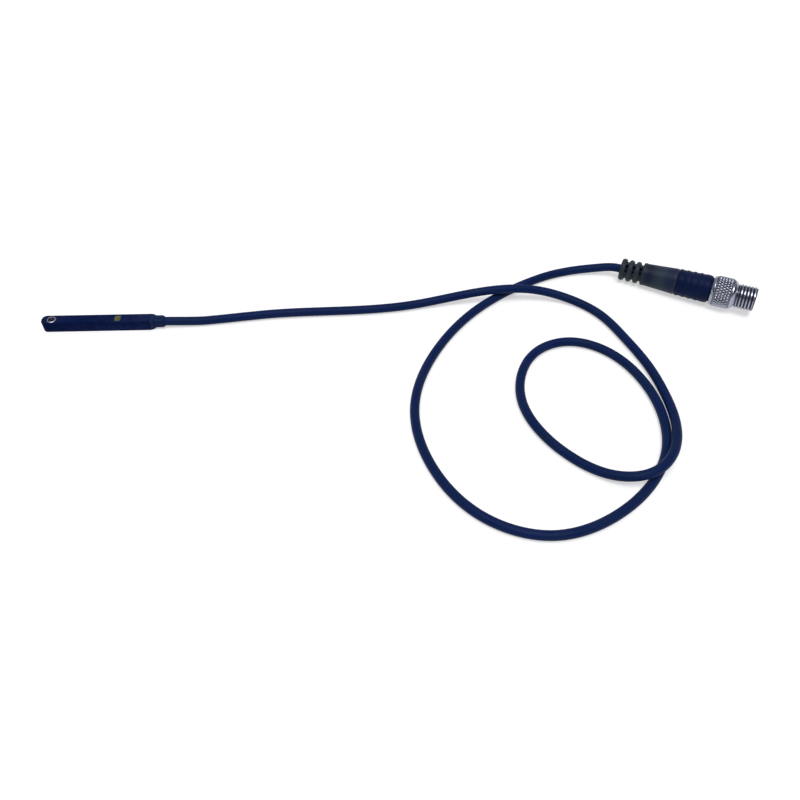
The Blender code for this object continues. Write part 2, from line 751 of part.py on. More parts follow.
def contact_carrier():
    """The insulating insert: a tail, the flange that holds the nut, a floor for the pins and a keyed collar."""
    tail, flange = CARRIER_TAIL_DIAMETER / 2, FLANGE_DIAMETER / 2
    collar_end = NUT_TIP - COLLAR_FROM_TIP
    inner = COLLAR_RADIUS - COLLAR_WALL
    profile = (
        (SOCKET_FLOOR, 0),
        (SOCKET_FLOOR, inner),
        (collar_end, inner),
        (collar_end, COLLAR_RADIUS - COLLAR_EDGE),
        (collar_end - COLLAR_EDGE, COLLAR_RADIUS),
        (FLANGE_END, COLLAR_RADIUS),
        (FLANGE_END, flange),
        (FLANGE_START, flange),
        (FLANGE_START, tail),
        (CARRIER_START, tail),
        (CARRIER_START, 0),
    )
    obj = turned("contact_carrier", profile, CARRIER, 40, PLUG_AXIS)
    key = box_cutter(
        "key",
        (inner - KEY_HEIGHT, -KEY_WIDTH / 2, SOCKET_FLOOR - COLLAR_WALL),
        (inner + COLLAR_WALL / 2, KEY_WIDTH / 2, collar_end - KEY_WIDTH),
        PLUG_AXIS,
    )
    cut(obj, key, "UNION")
    for number, angle in enumerate(PIN_ANGLES, 1):
        across, up = pin_place(angle)
        hole = cylinder_cutter(
            f"pin_hole_{number}",
            PIN_DIAMETER / 2 + FIT,
            CARRIER_START - PAST,
            SOCKET_FLOOR + PAST,
            (-up, across),
            16,
            PLUG_AXIS,
        )
        cut(obj, hole)


def contact_pins():
    radius, cup = PIN_DIAMETER / 2, PIN_CUP_DIAMETER / 2
    tip, tail = NUT_TIP - PIN_FROM_TIP, CARRIER_START - PIN_CUP_LENGTH
    profile = (
        (tip, 0),
        (tip, 0.4 * radius),
        (tip - 0.5 * radius, 0.8 * radius),
        (tip - 1.2 * radius, radius),
        (CARRIER_START, radius),
        (CARRIER_START - FIT, cup),
        (tail, cup),
        (tail, 0),
    )
    for number, angle in enumerate(PIN_ANGLES, 1):
        across, up = pin_place(angle)
        pin = turned(f"contact_pin_{number}", profile, GOLD, 16, PLUG_AXIS)
        pin.location = (-up * MM, across * MM, 0)


def knurl_profile():
    """Rows of the nut's knurled band, nose side first. Every second point of each row is pressed in afterwards."""
    half_rows = 2 * KNURL_ROWS
    start = NUT_START + REAR_CHAMFER + PLAIN_BAND
    length = NUT_START + NUT_HEAD_LENGTH - FRONT_CHAMFER - PLAIN_BAND - start
    return [(start + length * row / half_rows, KNURL_DIAMETER / 2) for row in range(half_rows, -1, -1)]


def thread_profile():
    """The thread's crests and roots as rings, from the nose back."""
    crest, root = THREAD_DIAMETER / 2, THREAD_DIAMETER / 2 - THREAD_DEPTH
    start = NUT_TIP - THREAD_CHAMFER
    points = [(NUT_TIP, crest - THREAD_CHAMFER), (start, crest)]
    turns = int((THREAD_LENGTH - THREAD_CHAMFER) / THREAD_PITCH)
    for turn in range(turns):
        along = start - turn * THREAD_PITCH
        points += [
            (along - 0.15 * THREAD_PITCH, crest),
            (along - 0.5 * THREAD_PITCH, root),
            (along - 0.65 * THREAD_PITCH, root),
            (along - THREAD_PITCH, crest),
        ]
    return points


def press_knurl(mesh):
    """Turns the band's grid into diamonds: every second point moves in, and each face is split along its groove."""
    high = KNURL_DIAMETER / 2 * MM
    rows = [along * MM for along, _ in knurl_profile()]
    step = math.pi / KNURL_AROUND
    bm = bmesh.new()
    bm.from_mesh(mesh)
    band = set()
    for vert in bm.verts:
        radius = math.hypot(vert.co.x, vert.co.y)
        if abs(radius - high) > TINY:
            continue
        row = min(range(len(rows)), key=lambda i: abs(rows[i] - vert.co.z))
        if abs(rows[row] - vert.co.z) > TINY:
            continue
        band.add(vert)
        column = round(math.atan2(vert.co.y, vert.co.x) / step)
        if (row + column) % 2 or row in (0, len(rows) - 1):
            shrink = 1 - KNURL_DEPTH * MM / radius
            vert.co.x *= shrink
            vert.co.y *= shrink
    quads = [face for face in bm.faces if all(vert in band for vert in face.verts)]
    bmesh.ops.triangulate(bm, faces=quads, quad_method="SHORT_EDGE")
    bm.to_mesh(mesh)
    bm.free()


def coupling_nut():
    """The knurled ring and its thread, turned from one bar. It spins between the grip and the carrier's flange."""
    outer = KNURL_DIAMETER / 2 - KNURL_DEPTH
    head_end = NUT_START + NUT_HEAD_LENGTH
    root = THREAD_DIAMETER / 2 - THREAD_DEPTH
    bore = NUT_BORE / 2
    pocket = FLANGE_DIAMETER / 2 + RUNNING_FIT
    step = FLANGE_END + END_PLAY
    profile = thread_profile()
    profile += [(head_end + THREAD_RELIEF / 2, root), (head_end, outer - FRONT_CHAMFER_DEPTH), (head_end - FRONT_CHAMFER, outer)]
    profile += knurl_profile()
    profile += [(NUT_START + REAR_CHAMFER, outer), (NUT_START, outer - REAR_CHAMFER / 2)]
    profile += [(NUT_START, pocket), (step, pocket), (step, bore), (NUT_TIP, bore)]
    turned_nut = turned("coupling_nut", profile, NICKEL, 2 * KNURL_AROUND, PLUG_AXIS)
    graph = bpy.context.evaluated_depsgraph_get()
    mesh = bpy.data.meshes.new_from_object(turned_nut.evaluated_get(graph))
    turned_nut.modifiers.clear()
    turned_nut.data = mesh
    press_knurl(mesh)


def cable():
    """The cable's jacket, from inside the grommet along the route to inside the plug."""
    height = CABLE_EXIT_HEIGHT
    straight_end = NECK_END + JACKET_STOP
    start = [(OPEN_END + JACKET_STOP, 0, height), (straight_end - CORE_GUIDE, 0, height), (straight_end, 0, height)]
    end = [plug_point(-CORE_GUIDE), plug_point(CORE_GUIDE), plug_point(JACKET_INSIDE / 2), plug_point(JACKET_INSIDE)]
    route = [Vector(point) for point in start] + [Vector(point) for point in CABLE_ROUTE] + end
    points = smooth_points(route, CABLE_STEP)
    for point in points:
        point.z = max(point.z, CABLE_RADIUS + FLOOR_GAP)
    tube("cable", points, CABLE_RADIUS, CABLE_NAVY)


def cores():
    """The three insulated cores, shown where the jacket ends: to the board in the head, to the pins in the plug."""
    height = CABLE_EXIT_HEIGHT
    jacket_end = OPEN_END + JACKET_STOP - FIT
    lead_height = BOARD_TOP + FIT + CORE_RADIUS
    lead_pitch = (CAVITY_WIDTH - 2 * FIT - CORE_DIAMETER - 0.2) / 2
    for lane, (colour, angle) in enumerate((("brown", 210.0), ("black", 90.0), ("blue", -30.0))):
        turn = math.radians(angle)
        across, up = CORE_SPREAD * math.cos(turn), CORE_SPREAD * math.sin(turn)
        side = (lane - 1) * lead_pitch
        head_points = (
            (jacket_end, across, height + up),
            (TONGUE_START + CORE_DROP + CORE_DROP_GUIDE, across, height + up),
            (TONGUE_START + CORE_DROP, across, height + up),
            (BOARD_END + CORE_DROP, side, lead_height),
            (BOARD_END - LEAD_ON_BOARD, side, lead_height),
        )
        tube(f"head_core_{colour}", smooth_points(head_points, CORE_RADIUS), CORE_RADIUS, CORE_FINISHES[colour])
        pin_across, pin_up = pin_place(PIN_ANGLES[(0, 2, 1)[lane]])
        tail = CARRIER_START - PIN_CUP_LENGTH - FIT
        plug_points = (
            plug_point(JACKET_INSIDE + FIT, across, up),
            plug_point(JACKET_INSIDE + CORE_GUIDE, across, up),
            plug_point(tail - CORE_FAN - CORE_GUIDE, across, up),
            plug_point(tail - CORE_FAN, across, up),
            plug_point(tail - CORE_STRAIGHT, pin_across, pin_up),
            plug_point(tail, pin_across, pin_up),
        )
        tube(f"plug_core_{colour}", smooth_points(plug_points, CORE_DIAMETER), CORE_RADIUS, CORE_FINISHES[colour])


housing()
potting()
bush_and_screw()
board_and_chips()
light_window()
grommet()
strain_relief()
grip_body()
inner_mould()
contact_carrier()
contact_pins()
coupling_nut()
cable()
cores()
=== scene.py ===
"""Looks for the magnetic field sensor: its slim head, its cable and its round plug, with a floor, lights and camera.

Lengths are millimetres in the piece's own frame, and MM turns them into metres.
"""

import math

import bmesh
import bpy
import numpy as np
from mathutils import Euler, Matrix, Vector


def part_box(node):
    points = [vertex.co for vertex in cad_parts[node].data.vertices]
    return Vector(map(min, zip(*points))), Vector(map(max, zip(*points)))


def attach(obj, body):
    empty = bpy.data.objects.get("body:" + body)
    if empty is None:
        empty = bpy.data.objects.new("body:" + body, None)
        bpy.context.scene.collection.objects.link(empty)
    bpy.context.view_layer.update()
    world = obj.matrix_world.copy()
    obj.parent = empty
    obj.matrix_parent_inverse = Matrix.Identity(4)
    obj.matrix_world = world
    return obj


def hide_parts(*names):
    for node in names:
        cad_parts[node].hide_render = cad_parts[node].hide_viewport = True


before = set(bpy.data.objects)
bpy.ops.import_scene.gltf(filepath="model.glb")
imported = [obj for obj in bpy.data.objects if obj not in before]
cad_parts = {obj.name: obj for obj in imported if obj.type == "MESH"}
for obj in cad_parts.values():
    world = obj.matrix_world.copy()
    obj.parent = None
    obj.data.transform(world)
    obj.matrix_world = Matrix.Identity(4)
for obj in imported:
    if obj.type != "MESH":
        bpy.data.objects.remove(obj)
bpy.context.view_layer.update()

MM = 0.001
TURN = 2 * math.pi
QUARTER = math.pi / 2
ROUND_STEPS = 96  # points round a broad round form

# Head
CLOSED_END = -19.5
OPEN_END = 15.0
HEAD_WIDTH = 3.9
HEAD_HEIGHT = 3.7
WALL = 0.4
END_ROUND = 1.6
EDGE_ROUND = 0.3
BASE_ROUND = 0.08
CAVITY_START = -14.15
BUSH_X = -16.3
BUSH_RADIUS = 1.5
BUSH_BORE = 1.05
FIT = 0.05
WINDOW_X = 4.7
WINDOW_LENGTH = 2.1
WINDOW_WIDTH = 2.7
WINDOW_ROUND = 0.2
WINDOW_DOME = 0.06
SCREW_TOP = 3.15
SCREW_END = 0.45
SCREW_RADIUS = 0.99
SCREW_PITCH = 0.4
SOCKET_DEPTH = 0.9
SOCKET_HALF = 0.5  # half of its width across two flats

# Grommet
COLLAR_END = 16.25
NECK_START = 16.8
NECK_END = 19.5
TONGUE_START = 12.8
CABLE_HEIGHT = 2.0
JACKET_STOP = 0.4

# Cable
CABLE_RADIUS = 1.4
CABLE_SPACING = 0.8
FLOOR_GAP = 0.02
CABLE_GUIDE = 2.0
JACKET_INSIDE = 9.0

# Plug, along its axis from the face where the cable enters
PLUG_REAR = Vector((170.7, 20.3))
PLUG_HEADING = -26.3
REST_ARM = 30.1
RING_COUNT = 3
RING_PITCH = 2.35
RING_WIDTH = 1.7
RING_DIAMETER = 7.3
RELIEF_CORE = 2.75
RIB_TURN = 50.0  # how far the openings between the rings are turned about the plug's axis
OPENING_HALF = 1.3
SEAM = 18.7
SEAM_RADIUS = 4.325
GRIP_RADIUS = 4.55
RIDGE_COUNT = 4
RIDGE_PITCH = 2.1
GRIP_END = 29.6
GRIP_SHOULDER = 1.3
GRIP_NOSE = 3.95
MOULD_SPACE = 3.05
NUT_START = 30.0
NUT_HEAD = 7.6
NUT_TIP = 43.7
KNURL_RADIUS = 5.0
KNURL_DEPTH = 0.28
KNURL_HALF_ROWS = 6
KNURL_AROUND = 33
KNURL_STEPS = 4  # points along half a diamond
THREAD_CREST = 4.0
THREAD_ROOT = 3.5
THREAD_PITCH = 1.0
THREAD_STEPS = 20  # points along a millimetre
NUT_BORE = 3.4
FLANGE_START = 32.4
FLANGE_END = 33.4
FLANGE_RADIUS = 4.05
SOCKET_FLOOR = 38.1
CARRIER_START = 27.4
CARRIER_TAIL = 2.7
COLLAR_RADIUS = 3.3
COLLAR_WALL = 0.45
COLLAR_STOP = NUT_TIP - 0.5
PIN_RADIUS = 0.5
PIN_CIRCLE = 1.5
PIN_ANGLES = (200.0, -20.0, 90.0)
RINGS_FROM = 0.9845  # the share of the jacket's length at which it passes under the rings

PLUG_TILT = math.asin((2 * KNURL_RADIUS - RING_DIAMETER) / 2 / REST_ARM)
PLUG_REAR_Z = RING_DIAMETER / 2 * math.cos(PLUG_TILT) - RING_WIDTH / 2 * math.sin(PLUG_TILT) + FLOOR_GAP
PLUG = Matrix.LocRotScale(
    Vector((*PLUG_REAR, PLUG_REAR_Z)) * MM,
    Euler((0, QUARTER - PLUG_TILT, math.radians(PLUG_HEADING))),
    None,
)
HEAD = Matrix.Identity(4)

# Studio: the heights are those of a direction, from 0 at the horizon to 1 overhead
FLOOR_SIZE = 2.5
WALL_TOP = 0.2
ROOM_FROM = 0.32
CEILING_FROM = 0.66
DARK_SIDE = (0.82, -0.38, 0.43)

# The cable's route
CABLE_ROUTE = (
    (31.1, 0.5, 1.45), (50.1, 2.8, 1.45), (69.5, 3.9, 1.45), (89, 4.8, 1.45), (99.5, 6.2, 1.6),
    (109.5, 8, 2.3), (120, 9, 3.9), (131.4, 9.7, 4.7), (142.3, 9.6, 3.5), (151.6, 7.1, 1.8),
    (159.1, 1, 1.45), (165.4, -10.8, 1.45), (170, -23.1, 1.45), (172.3, -37.1, 1.9), (172.1, -46.7, 2.9),
    (170, -55.5, 4), (165.9, -62.5, 4.7), (159.9, -66.6, 4.5), (152.3, -65.9, 2.7), (144.5, -61.4, 1.5),
    (135.5, -52, 1.45), (129.9, -38.4, 1.45), (131.4, -25.2, 1.45), (138.1, -15.7, 1.45), (148.2, -12.5, 1.45),
    (159, -17.3, 1.45), (166.6, -28.6, 1.45), (169.6, -43.5, 1.45), (167.5, -56.6, 1.45), (161.1, -67.4, 1.45),
    (150.3, -76.9, 1.45), (131.6, -83.2, 1.45), (114.6, -77.2, 1.45), (102.2, -60.7, 1.45), (98.2, -38.5, 1.45),
    (105.4, -16.2, 1.45), (118.9, 2.1, 1.45), (137.3, 15.8, 1.45), (154, 22.3, 1.5), (163.5, 22.5, 2.5),
)


# Camera


def placed(name, data):
    """A new object that holds the data, in the scene."""
    obj = bpy.data.objects.new(name, data)
    bpy.context.scene.collection.objects.link(obj)
    return obj


def place_camera():
    data = bpy.data.cameras.new("camera")
    data.lens = 36
    data.sensor_width = 36
    camera = placed("camera", data)
    camera.location = (0.08959, -0.19271, 0.17624)
    camera.rotation_euler = (math.radians(41.95), 0, math.radians(-1.598))
    bpy.context.scene.camera = camera


place_camera()


# Material helpers


def srgb(red, green, blue):
    """A colour given as 0 to 255 screen values, turned into the linear values that sockets take."""

    def linear(value):
        value /= 255
        return value / 12.92 if value <= 0.04045 else ((value + 0.055) / 1.055) ** 2.4

    return (linear(red), linear(green), linear(blue), 1.0)


def node(tree, kind, inputs=None, **settings):
    """A shader node with its settings, whose inputs are values or other nodes' outputs."""
    made = tree.nodes.new("ShaderNode" + kind)
    for key, value in settings.items():
        setattr(made, key, value)
    for key, value in (inputs or {}).items():
        if isinstance(value, bpy.types.NodeSocket):
            tree.links.new(value, made.inputs[key])
        else:
            made.inputs[key].default_value = value
    return made


def math_node(tree, operation, first, second, clamp=False):
    return node(tree, "Math", {0: first, 1: second}, operation=operation, use_clamp=clamp).outputs[0]


def times(tree, first, second, clamp=False):
    return math_node(tree, "MULTIPLY", first, second, clamp)


def plus(tree, first, second):
    return math_node(tree, "ADD", first, second)


def colour_mix(tree, factor, first, second):
    """Mixes two colours. Numbers name the sockets, because the node's other kinds share their labels."""
    return node(tree, "Mix", {0: factor, 6: first, 7: second}, data_type="RGBA").outputs[2]


def noise(tree, place, scale, detail):
    return node(tree, "TexNoise", {"Vector": place, "Scale": scale, "Detail": detail}).outputs[0]


def axis_of(tree, vector, axis):
    return node(tree, "SeparateXYZ", {"Vector": vector}).outputs[axis]


def spread(tree, value, low, high, to_low=0.0, to_high=1.0):
    """value from low..high moved to to_low..to_high, held at both ends."""
    inputs = {"Value": value, "From Min": low, "From Max": high, "To Min": to_low, "To Max": to_high}
    return node(tree, "MapRange", inputs).outputs[0]


def new_group(name, inputs, outputs):
    """An empty node group with float or vector sockets. Returns its tree and the sockets of its two end nodes."""
    tree = bpy.data.node_groups.new(name, "ShaderNodeTree")
    kinds = {"float": "NodeSocketFloat", "vector": "NodeSocketVector"}
    for label, kind, value in inputs:
        made = tree.interface.new_socket(label, in_out="INPUT", socket_type=kinds[kind])
        if value is not None:
            made.default_value = value
    for label, kind in outputs:
        tree.interface.new_socket(label, in_out="OUTPUT", socket_type=kinds[kind])
    return tree, tree.nodes.new("NodeGroupInput").outputs, tree.nodes.new("NodeGroupOutput").inputs


def grouped(tree, group, **inputs):
    """One use of a shared group, with its inputs named in words joined by _."""
    named = {key.replace("_", " "): value for key, value in inputs.items()}
    return node(tree, "Group", named, node_tree=group).outputs


def fixed(shader, **values):
    """Sets the shader's own inputs, named in words joined by _, to values that are the same all over."""
    for key, value in values.items():
        shader.inputs[key.replace("_", " ")].default_value = value


def put_out(tree, out, **values):
    """Links a group's results to its outputs."""
    for key, value in values.items():
        tree.links.new(value, out[key])


# Shared effects


def moulded_grain_group():
    """Fine sparked texture of a moulding tool, with a slow cloudiness in the plastic."""
    tree, given, out = new_group(
        "moulded_grain",
        (("Place", "vector", None), ("Grain Size", "float", 0.15), ("Cloud Size", "float", 4.0)),
        (("Height", "float"), ("Cloud", "float"), ("Speck", "float")),
    )
    per_grain = math_node(tree, "DIVIDE", 1 / MM, given["Grain Size"])
    per_cloud = math_node(tree, "DIVIDE", 1 / MM, given["Cloud Size"])
    fine = noise(tree, given["Place"], per_grain, 3)
    cells = node(tree, "TexVoronoi", {"Vector": given["Place"], "Scale": per_grain}, feature="F1")
    cloud = noise(tree, given["Place"], per_cloud, 4)
    height = plus(tree, fine, times(tree, cells.outputs[0], 0.5))
    put_out(tree, out, Height=height, Cloud=spread(tree, cloud, 0.3, 0.7), Speck=spread(tree, fine, 0.62, 0.75))
    return tree


def worn_and_lit_edges_group():
    """A mask of outer edges, broken up by noise, where handling has polished or paled the surface; on the relief's
    beads it also paints a pale rim highlight.
    """
    tree, given, out = new_group(
        "worn_and_lit_edges",
        (("Place", "vector", None), ("Start", "float", 0.53), ("Full", "float", 0.62), ("Patch Size", "float", 1.2)),
        (("Mask", "float"),),
    )
    edge = spread(tree, node(tree, "NewGeometry").outputs["Pointiness"], given["Start"], given["Full"])
    scale = math_node(tree, "DIVIDE", 1 / MM, given["Patch Size"])
    broken = spread(tree, noise(tree, given["Place"], scale, 3), 0.35, 0.65, 0.25, 1.0)
    put_out(tree, out, Mask=times(tree, edge, broken))
    return tree


def settled_dust_group():
    """Pale dust on faces that look up, in fine specks and soft films."""
    tree, given, out = new_group(
        "settled_dust",
        (("Place", "vector", None), ("Amount", "float", 0.5), ("Speck Size", "float", 0.3)),
        (("Mask", "float"),),
    )
    up = axis_of(tree, node(tree, "NewGeometry").outputs["Normal"], "Z")
    facing = spread(tree, up, 0.1, 0.95)
    scale = math_node(tree, "DIVIDE", 1 / MM, given["Speck Size"])
    specks = noise(tree, given["Place"], scale, 2)
    film = noise(tree, given["Place"], 1 / (7 * MM), 3)
    dots = spread(tree, specks, 0.6, 0.74)
    veil = spread(tree, film, 0.42, 0.75, 0.0, 0.5)
    masked = times(tree, math_node(tree, "MAXIMUM", dots, veil), facing)
    put_out(tree, out, Mask=times(tree, masked, given["Amount"], clamp=True))
    return tree


def lathe_marks_group():
    """Fine rings left by turning, read from a piece's map: U goes round once and V runs along in millimetres."""
    tree, given, out = new_group(
        "lathe_marks",
        (("Map", "vector", None), ("Ring Width", "float", 0.05), ("Smear", "float", 6.0)),
        (("Height", "float"), ("Tone", "float")),
    )
    around = times(tree, axis_of(tree, given["Map"], "X"), given["Smear"])
    along = math_node(tree, "DIVIDE", axis_of(tree, given["Map"], "Y"), given["Ring Width"])
    place = node(tree, "CombineXYZ", {"X": around, "Y": along})
    rings = noise(tree, place.outputs[0], 1.0, 4)
    put_out(tree, out, Height=rings, Tone=spread(tree, rings, 0.3, 0.7))
    return tree


def drawn_streaks_group():
    """Faint lines along an extruded jacket, read from its map: U runs along and V goes round."""
    tree, given, out = new_group(
        "drawn_streaks",
        (("Map", "vector", None), ("Streaks", "float", 26.0), ("Runs", "float", 60.0)),
        (("Height", "float"), ("Tone", "float"), ("Scuff", "float")),
    )
    stretch = node(tree, "CombineXYZ", {"X": given["Runs"], "Y": given["Streaks"], "Z": 1.0})
    place = node(tree, "VectorMath", {0: given["Map"], 1: stretch.outputs[0]}, operation="MULTIPLY")
    lines = noise(tree, place.outputs[0], 1.0, 3)
    marks = noise(tree, place.outputs[0], 3.1, 2)
    put_out(tree, out, Height=lines, Tone=spread(tree, lines, 0.3, 0.7), Scuff=spread(tree, marks, 0.62, 0.8))
    return tree


GRAIN = moulded_grain_group()
WORN_AND_LIT = worn_and_lit_edges_group()
DUST = settled_dust_group()
LATHE = lathe_marks_group()
STREAKS = drawn_streaks_group()
DUST_COLOUR = srgb(150, 152, 158)


# Materials


def new_material(name):
    """A material with its tree, its shader and the place on the piece."""
    made = bpy.data.materials.new(name)
    made.use_nodes = True
    tree = made.node_tree
    shader = tree.nodes["Principled BSDF"]
    place = node(tree, "TexCoord").outputs
    return made, tree, shader, place


def dress(tree, shader, tone, rough, height, distance):
    """Gives the shader a colour, a roughness and a raised surface. distance is the height's full measure."""
    raised = node(tree, "Bump", {"Height": height, "Distance": distance * MM})
    tree.links.new(tone, shader.inputs["Base Color"])
    tree.links.new(rough, shader.inputs["Roughness"])
    tree.links.new(raised.outputs[0], shader.inputs["Normal"])


def plastic(
    name, colour, deep, worn_and_lit_colour, roughness, grain=0.15, relief=0.012, gloss=0.12, coat=0.0, sheen=0.0,
    wear_and_light=(0.53, 0.62), tones_and_highlight_along=(),
):
    """Moulded plastic: cloudy between two tones, paler on worn edges, with the tool's grain and a little dust.

    Colours are screen values. The wear thresholds say where the pale edges start and are full; the pale edges are
    edge wear, and on the relief's beads partly a painted rim highlight. The tones along give colours at places along
    the piece's map, for a plastic that changes from end to end; on the relief the paler tones midway along the sleeve
    are a painted highlight.
    """
    made, tree, shader, place = new_material(name)
    at = place["Object"]
    grained = grouped(tree, GRAIN, Place=at, Grain_Size=grain)
    tone = colour_mix(tree, grained["Cloud"], srgb(*deep), srgb(*colour))
    # Painted highlight on the relief: its paler tones midway along the sleeve stand for the sleeve's highlight.
    if tones_and_highlight_along:
        first, last = tones_and_highlight_along[0][0], tones_and_highlight_along[-1][0]
        along = axis_of(tree, place["UV"], "Y")
        ramp = node(tree, "ValToRGB", {"Fac": spread(tree, along, first, last)})
        stops = ramp.color_ramp.elements
        stops[0].color, stops[1].color = srgb(*tones_and_highlight_along[0][1]), srgb(*tones_and_highlight_along[-1][1])
        for at_place, reached in tones_and_highlight_along[1:-1]:
            stops.new((at_place - first) / (last - first)).color = srgb(*reached)
        tone = colour_mix(tree, 0.88, tone, ramp.outputs["Color"])
    # Pale edges: edge wear, and on the relief's beads partly a painted rim highlight.
    edges = grouped(tree, WORN_AND_LIT, Place=at, Start=wear_and_light[0], Full=wear_and_light[1])
    tone = colour_mix(tree, times(tree, edges["Mask"], 0.55), tone, srgb(*worn_and_lit_colour))
    dusty = grouped(tree, DUST, Place=at, Amount=0.15)
    tone = colour_mix(tree, times(tree, dusty["Mask"], 0.35), tone, DUST_COLOUR)
    rough = plus(tree, roughness, times(tree, grained["Speck"], 0.1))
    rough = plus(tree, rough, times(tree, dusty["Mask"], 0.25))
    rough = math_node(tree, "SUBTRACT", rough, times(tree, edges["Mask"], 0.12), clamp=True)
    fixed(shader, Specular_IOR_Level=gloss, Coat_Weight=coat, Coat_Roughness=0.25)
    fixed(shader, Sheen_Weight=sheen, Sheen_Roughness=0.4, Sheen_Tint=srgb(150, 168, 170))
    dress(tree, shader, tone, rough, grained["Height"], relief)
    return made


def turned_metal(name, colour, shade, roughness, grooves=True):
    """Plated or bare turned metal: rings from the lathe, painted shade in its grooves and end chamfers, and bright
    worn edges.
    """
    made, tree, shader, place = new_material(name)
    shade = srgb(*shade)
    marks = grouped(tree, LATHE, Map=place["UV"])
    grained = grouped(tree, GRAIN, Place=place["Object"], Grain_Size=0.5, Cloud_Size=2.5)
    tone = colour_mix(tree, times(tree, marks["Tone"], 0.35), srgb(*colour), shade)
    tone = colour_mix(tree, times(tree, grained["Cloud"], 0.25), tone, shade)
    rough = plus(tree, roughness, times(tree, grained["Cloud"], 0.08))
    edges = grouped(tree, WORN_AND_LIT, Place=place["Object"], Start=0.55, Full=0.7, Patch_Size=0.8)
    tone = colour_mix(tree, times(tree, edges["Mask"], 0.4), tone, srgb(226, 224, 232))
    # Painted shade: darker and rougher where the groove attribute lies deep, in the grooves and on a thread's end
    # chamfer.
    if grooves:
        deep = node(tree, "Attribute", attribute_name="groove").outputs["Fac"]
        groove_shade = times(tree, spread(tree, deep, 0.35, 1.0), 0.86)
        tone = colour_mix(tree, groove_shade, tone, srgb(40, 39, 48))
        rough = plus(tree, rough, times(tree, groove_shade, 0.25))
    fixed(shader, Metallic=1.0)
    dress(tree, shader, tone, rough, marks["Height"], 0.002)
    return made


def cable_material():
    """Matt navy jacket with faint drawn lines and a soft sheen, darker where the relief's rings shade it."""
    made, tree, shader, place = new_material("cable_navy_jacket")
    streaks = grouped(tree, STREAKS, Map=place["UV"])
    grained = grouped(tree, GRAIN, Place=place["Object"], Grain_Size=0.2, Cloud_Size=18.0)
    tone = colour_mix(tree, streaks["Tone"], srgb(4, 26, 74), srgb(7, 33, 88))
    tone = colour_mix(tree, times(tree, grained["Cloud"], 0.65), tone, srgb(8, 32, 66))
    tone = colour_mix(tree, times(tree, streaks["Scuff"], 0.08), tone, srgb(70, 84, 116))
    along = axis_of(tree, place["UV"], "X")
    tone = colour_mix(tree, spread(tree, along, RINGS_FROM, RINGS_FROM + 0.002, 0.0, 0.85), tone, srgb(5, 14, 38))
    dusty = grouped(tree, DUST, Place=place["Object"], Amount=0.12, Speck_Size=0.5)
    tone = colour_mix(tree, times(tree, dusty["Mask"], 0.3), tone, DUST_COLOUR)
    rough = plus(tree, 0.5, times(tree, grained["Speck"], 0.12))
    fixed(shader, Specular_IOR_Level=0.08, Sheen_Weight=0.015, Sheen_Roughness=0.5, Sheen_Tint=srgb(90, 130, 170))
    height = plus(tree, streaks["Height"], times(tree, grained["Height"], 0.4))
    dress(tree, shader, tone, rough, height, 0.02)
    return made


def window_material():
    """Olive-amber light window with a green-grey rim, and with corners that take on the housing's navy."""
    made, tree, shader, place = new_material("window_amber_lens")
    moved, scale = (-2 * WINDOW_X / WINDOW_LENGTH, 0, 0), (2 / WINDOW_LENGTH / MM, 2 / WINDOW_WIDTH / MM, 0)
    middle = node(tree, "Mapping", {"Vector": place["Object"], "Location": moved, "Scale": scale})
    away = node(tree, "VectorMath", {0: middle.outputs[0]}, operation="LENGTH").outputs["Value"]
    rim = spread(tree, away, 0.6, 0.95)
    corners = spread(tree, away, 1.0, 1.25)
    grained = grouped(tree, GRAIN, Place=place["Object"], Grain_Size=0.2, Cloud_Size=1.2)
    tone = colour_mix(tree, grained["Cloud"], srgb(74, 72, 30), srgb(104, 99, 52))
    tone = colour_mix(tree, rim, tone, srgb(62, 78, 66))
    tone = colour_mix(tree, corners, tone, srgb(10, 24, 50))
    fixed(shader, Specular_IOR_Level=0.3, Coat_Weight=0.25, Coat_Roughness=0.12)
    fixed(shader, Subsurface_Weight=0.2, Subsurface_Scale=0.5 * MM)
    rough = spread(tree, grained["Speck"], 0, 1, 0.28, 0.4)
    dress(tree, shader, tone, rough, grained["Height"], 0.006)
    return made


def board_material():
    """Green solder mask over tracks that show as a fine raised pattern."""
    made, tree, shader, place = new_material("board_green_mask")
    inputs = {"Vector": place["Object"], "Scale": 450.0, "Mortar Size": 0.03}
    tracks = node(tree, "TexBrick", inputs, offset=0.4)
    grained = grouped(tree, GRAIN, Place=place["Object"], Grain_Size=0.1, Cloud_Size=3.0)
    tone = colour_mix(tree, tracks.outputs["Fac"], srgb(18, 88, 48), srgb(38, 116, 62))
    tone = colour_mix(tree, times(tree, grained["Cloud"], 0.3), tone, srgb(10, 70, 40))
    rough = spread(tree, grained["Speck"], 0, 1, 0.35, 0.5)
    dress(tree, shader, tone, rough, tracks.outputs["Fac"], 0.02)
    return made


def floor_material():
    """Pale table that the camera sees as white but for the sensor's shadow."""
    made, tree, shader, place = new_material("floor_pale")
    weave = noise(tree, place["Object"], 30.0, 3)
    tone = colour_mix(tree, weave, (0.66, 0.66, 0.66, 1), (0.68, 0.68, 0.68, 1))
    tree.links.new(tone, shader.inputs["Base Color"])
    fixed(shader, Roughness=0.9, Specular_IOR_Level=0.1)
    path = node(tree, "LightPath").outputs
    seen = math_node(tree, "MAXIMUM", path["Is Camera Ray"], path["Is Transmission Ray"])
    seen = math_node(tree, "MAXIMUM", seen, path["Is Glossy Ray"])
    glow = node(tree, "Emission", {"Color": (1, 1, 1, 1), "Strength": times(tree, seen, 0.5)})
    both = node(tree, "AddShader", {0: shader.outputs[0], 1: glow.outputs[0]})
    tree.links.new(both.outputs[0], tree.nodes["Material Output"].inputs["Surface"])
    return made


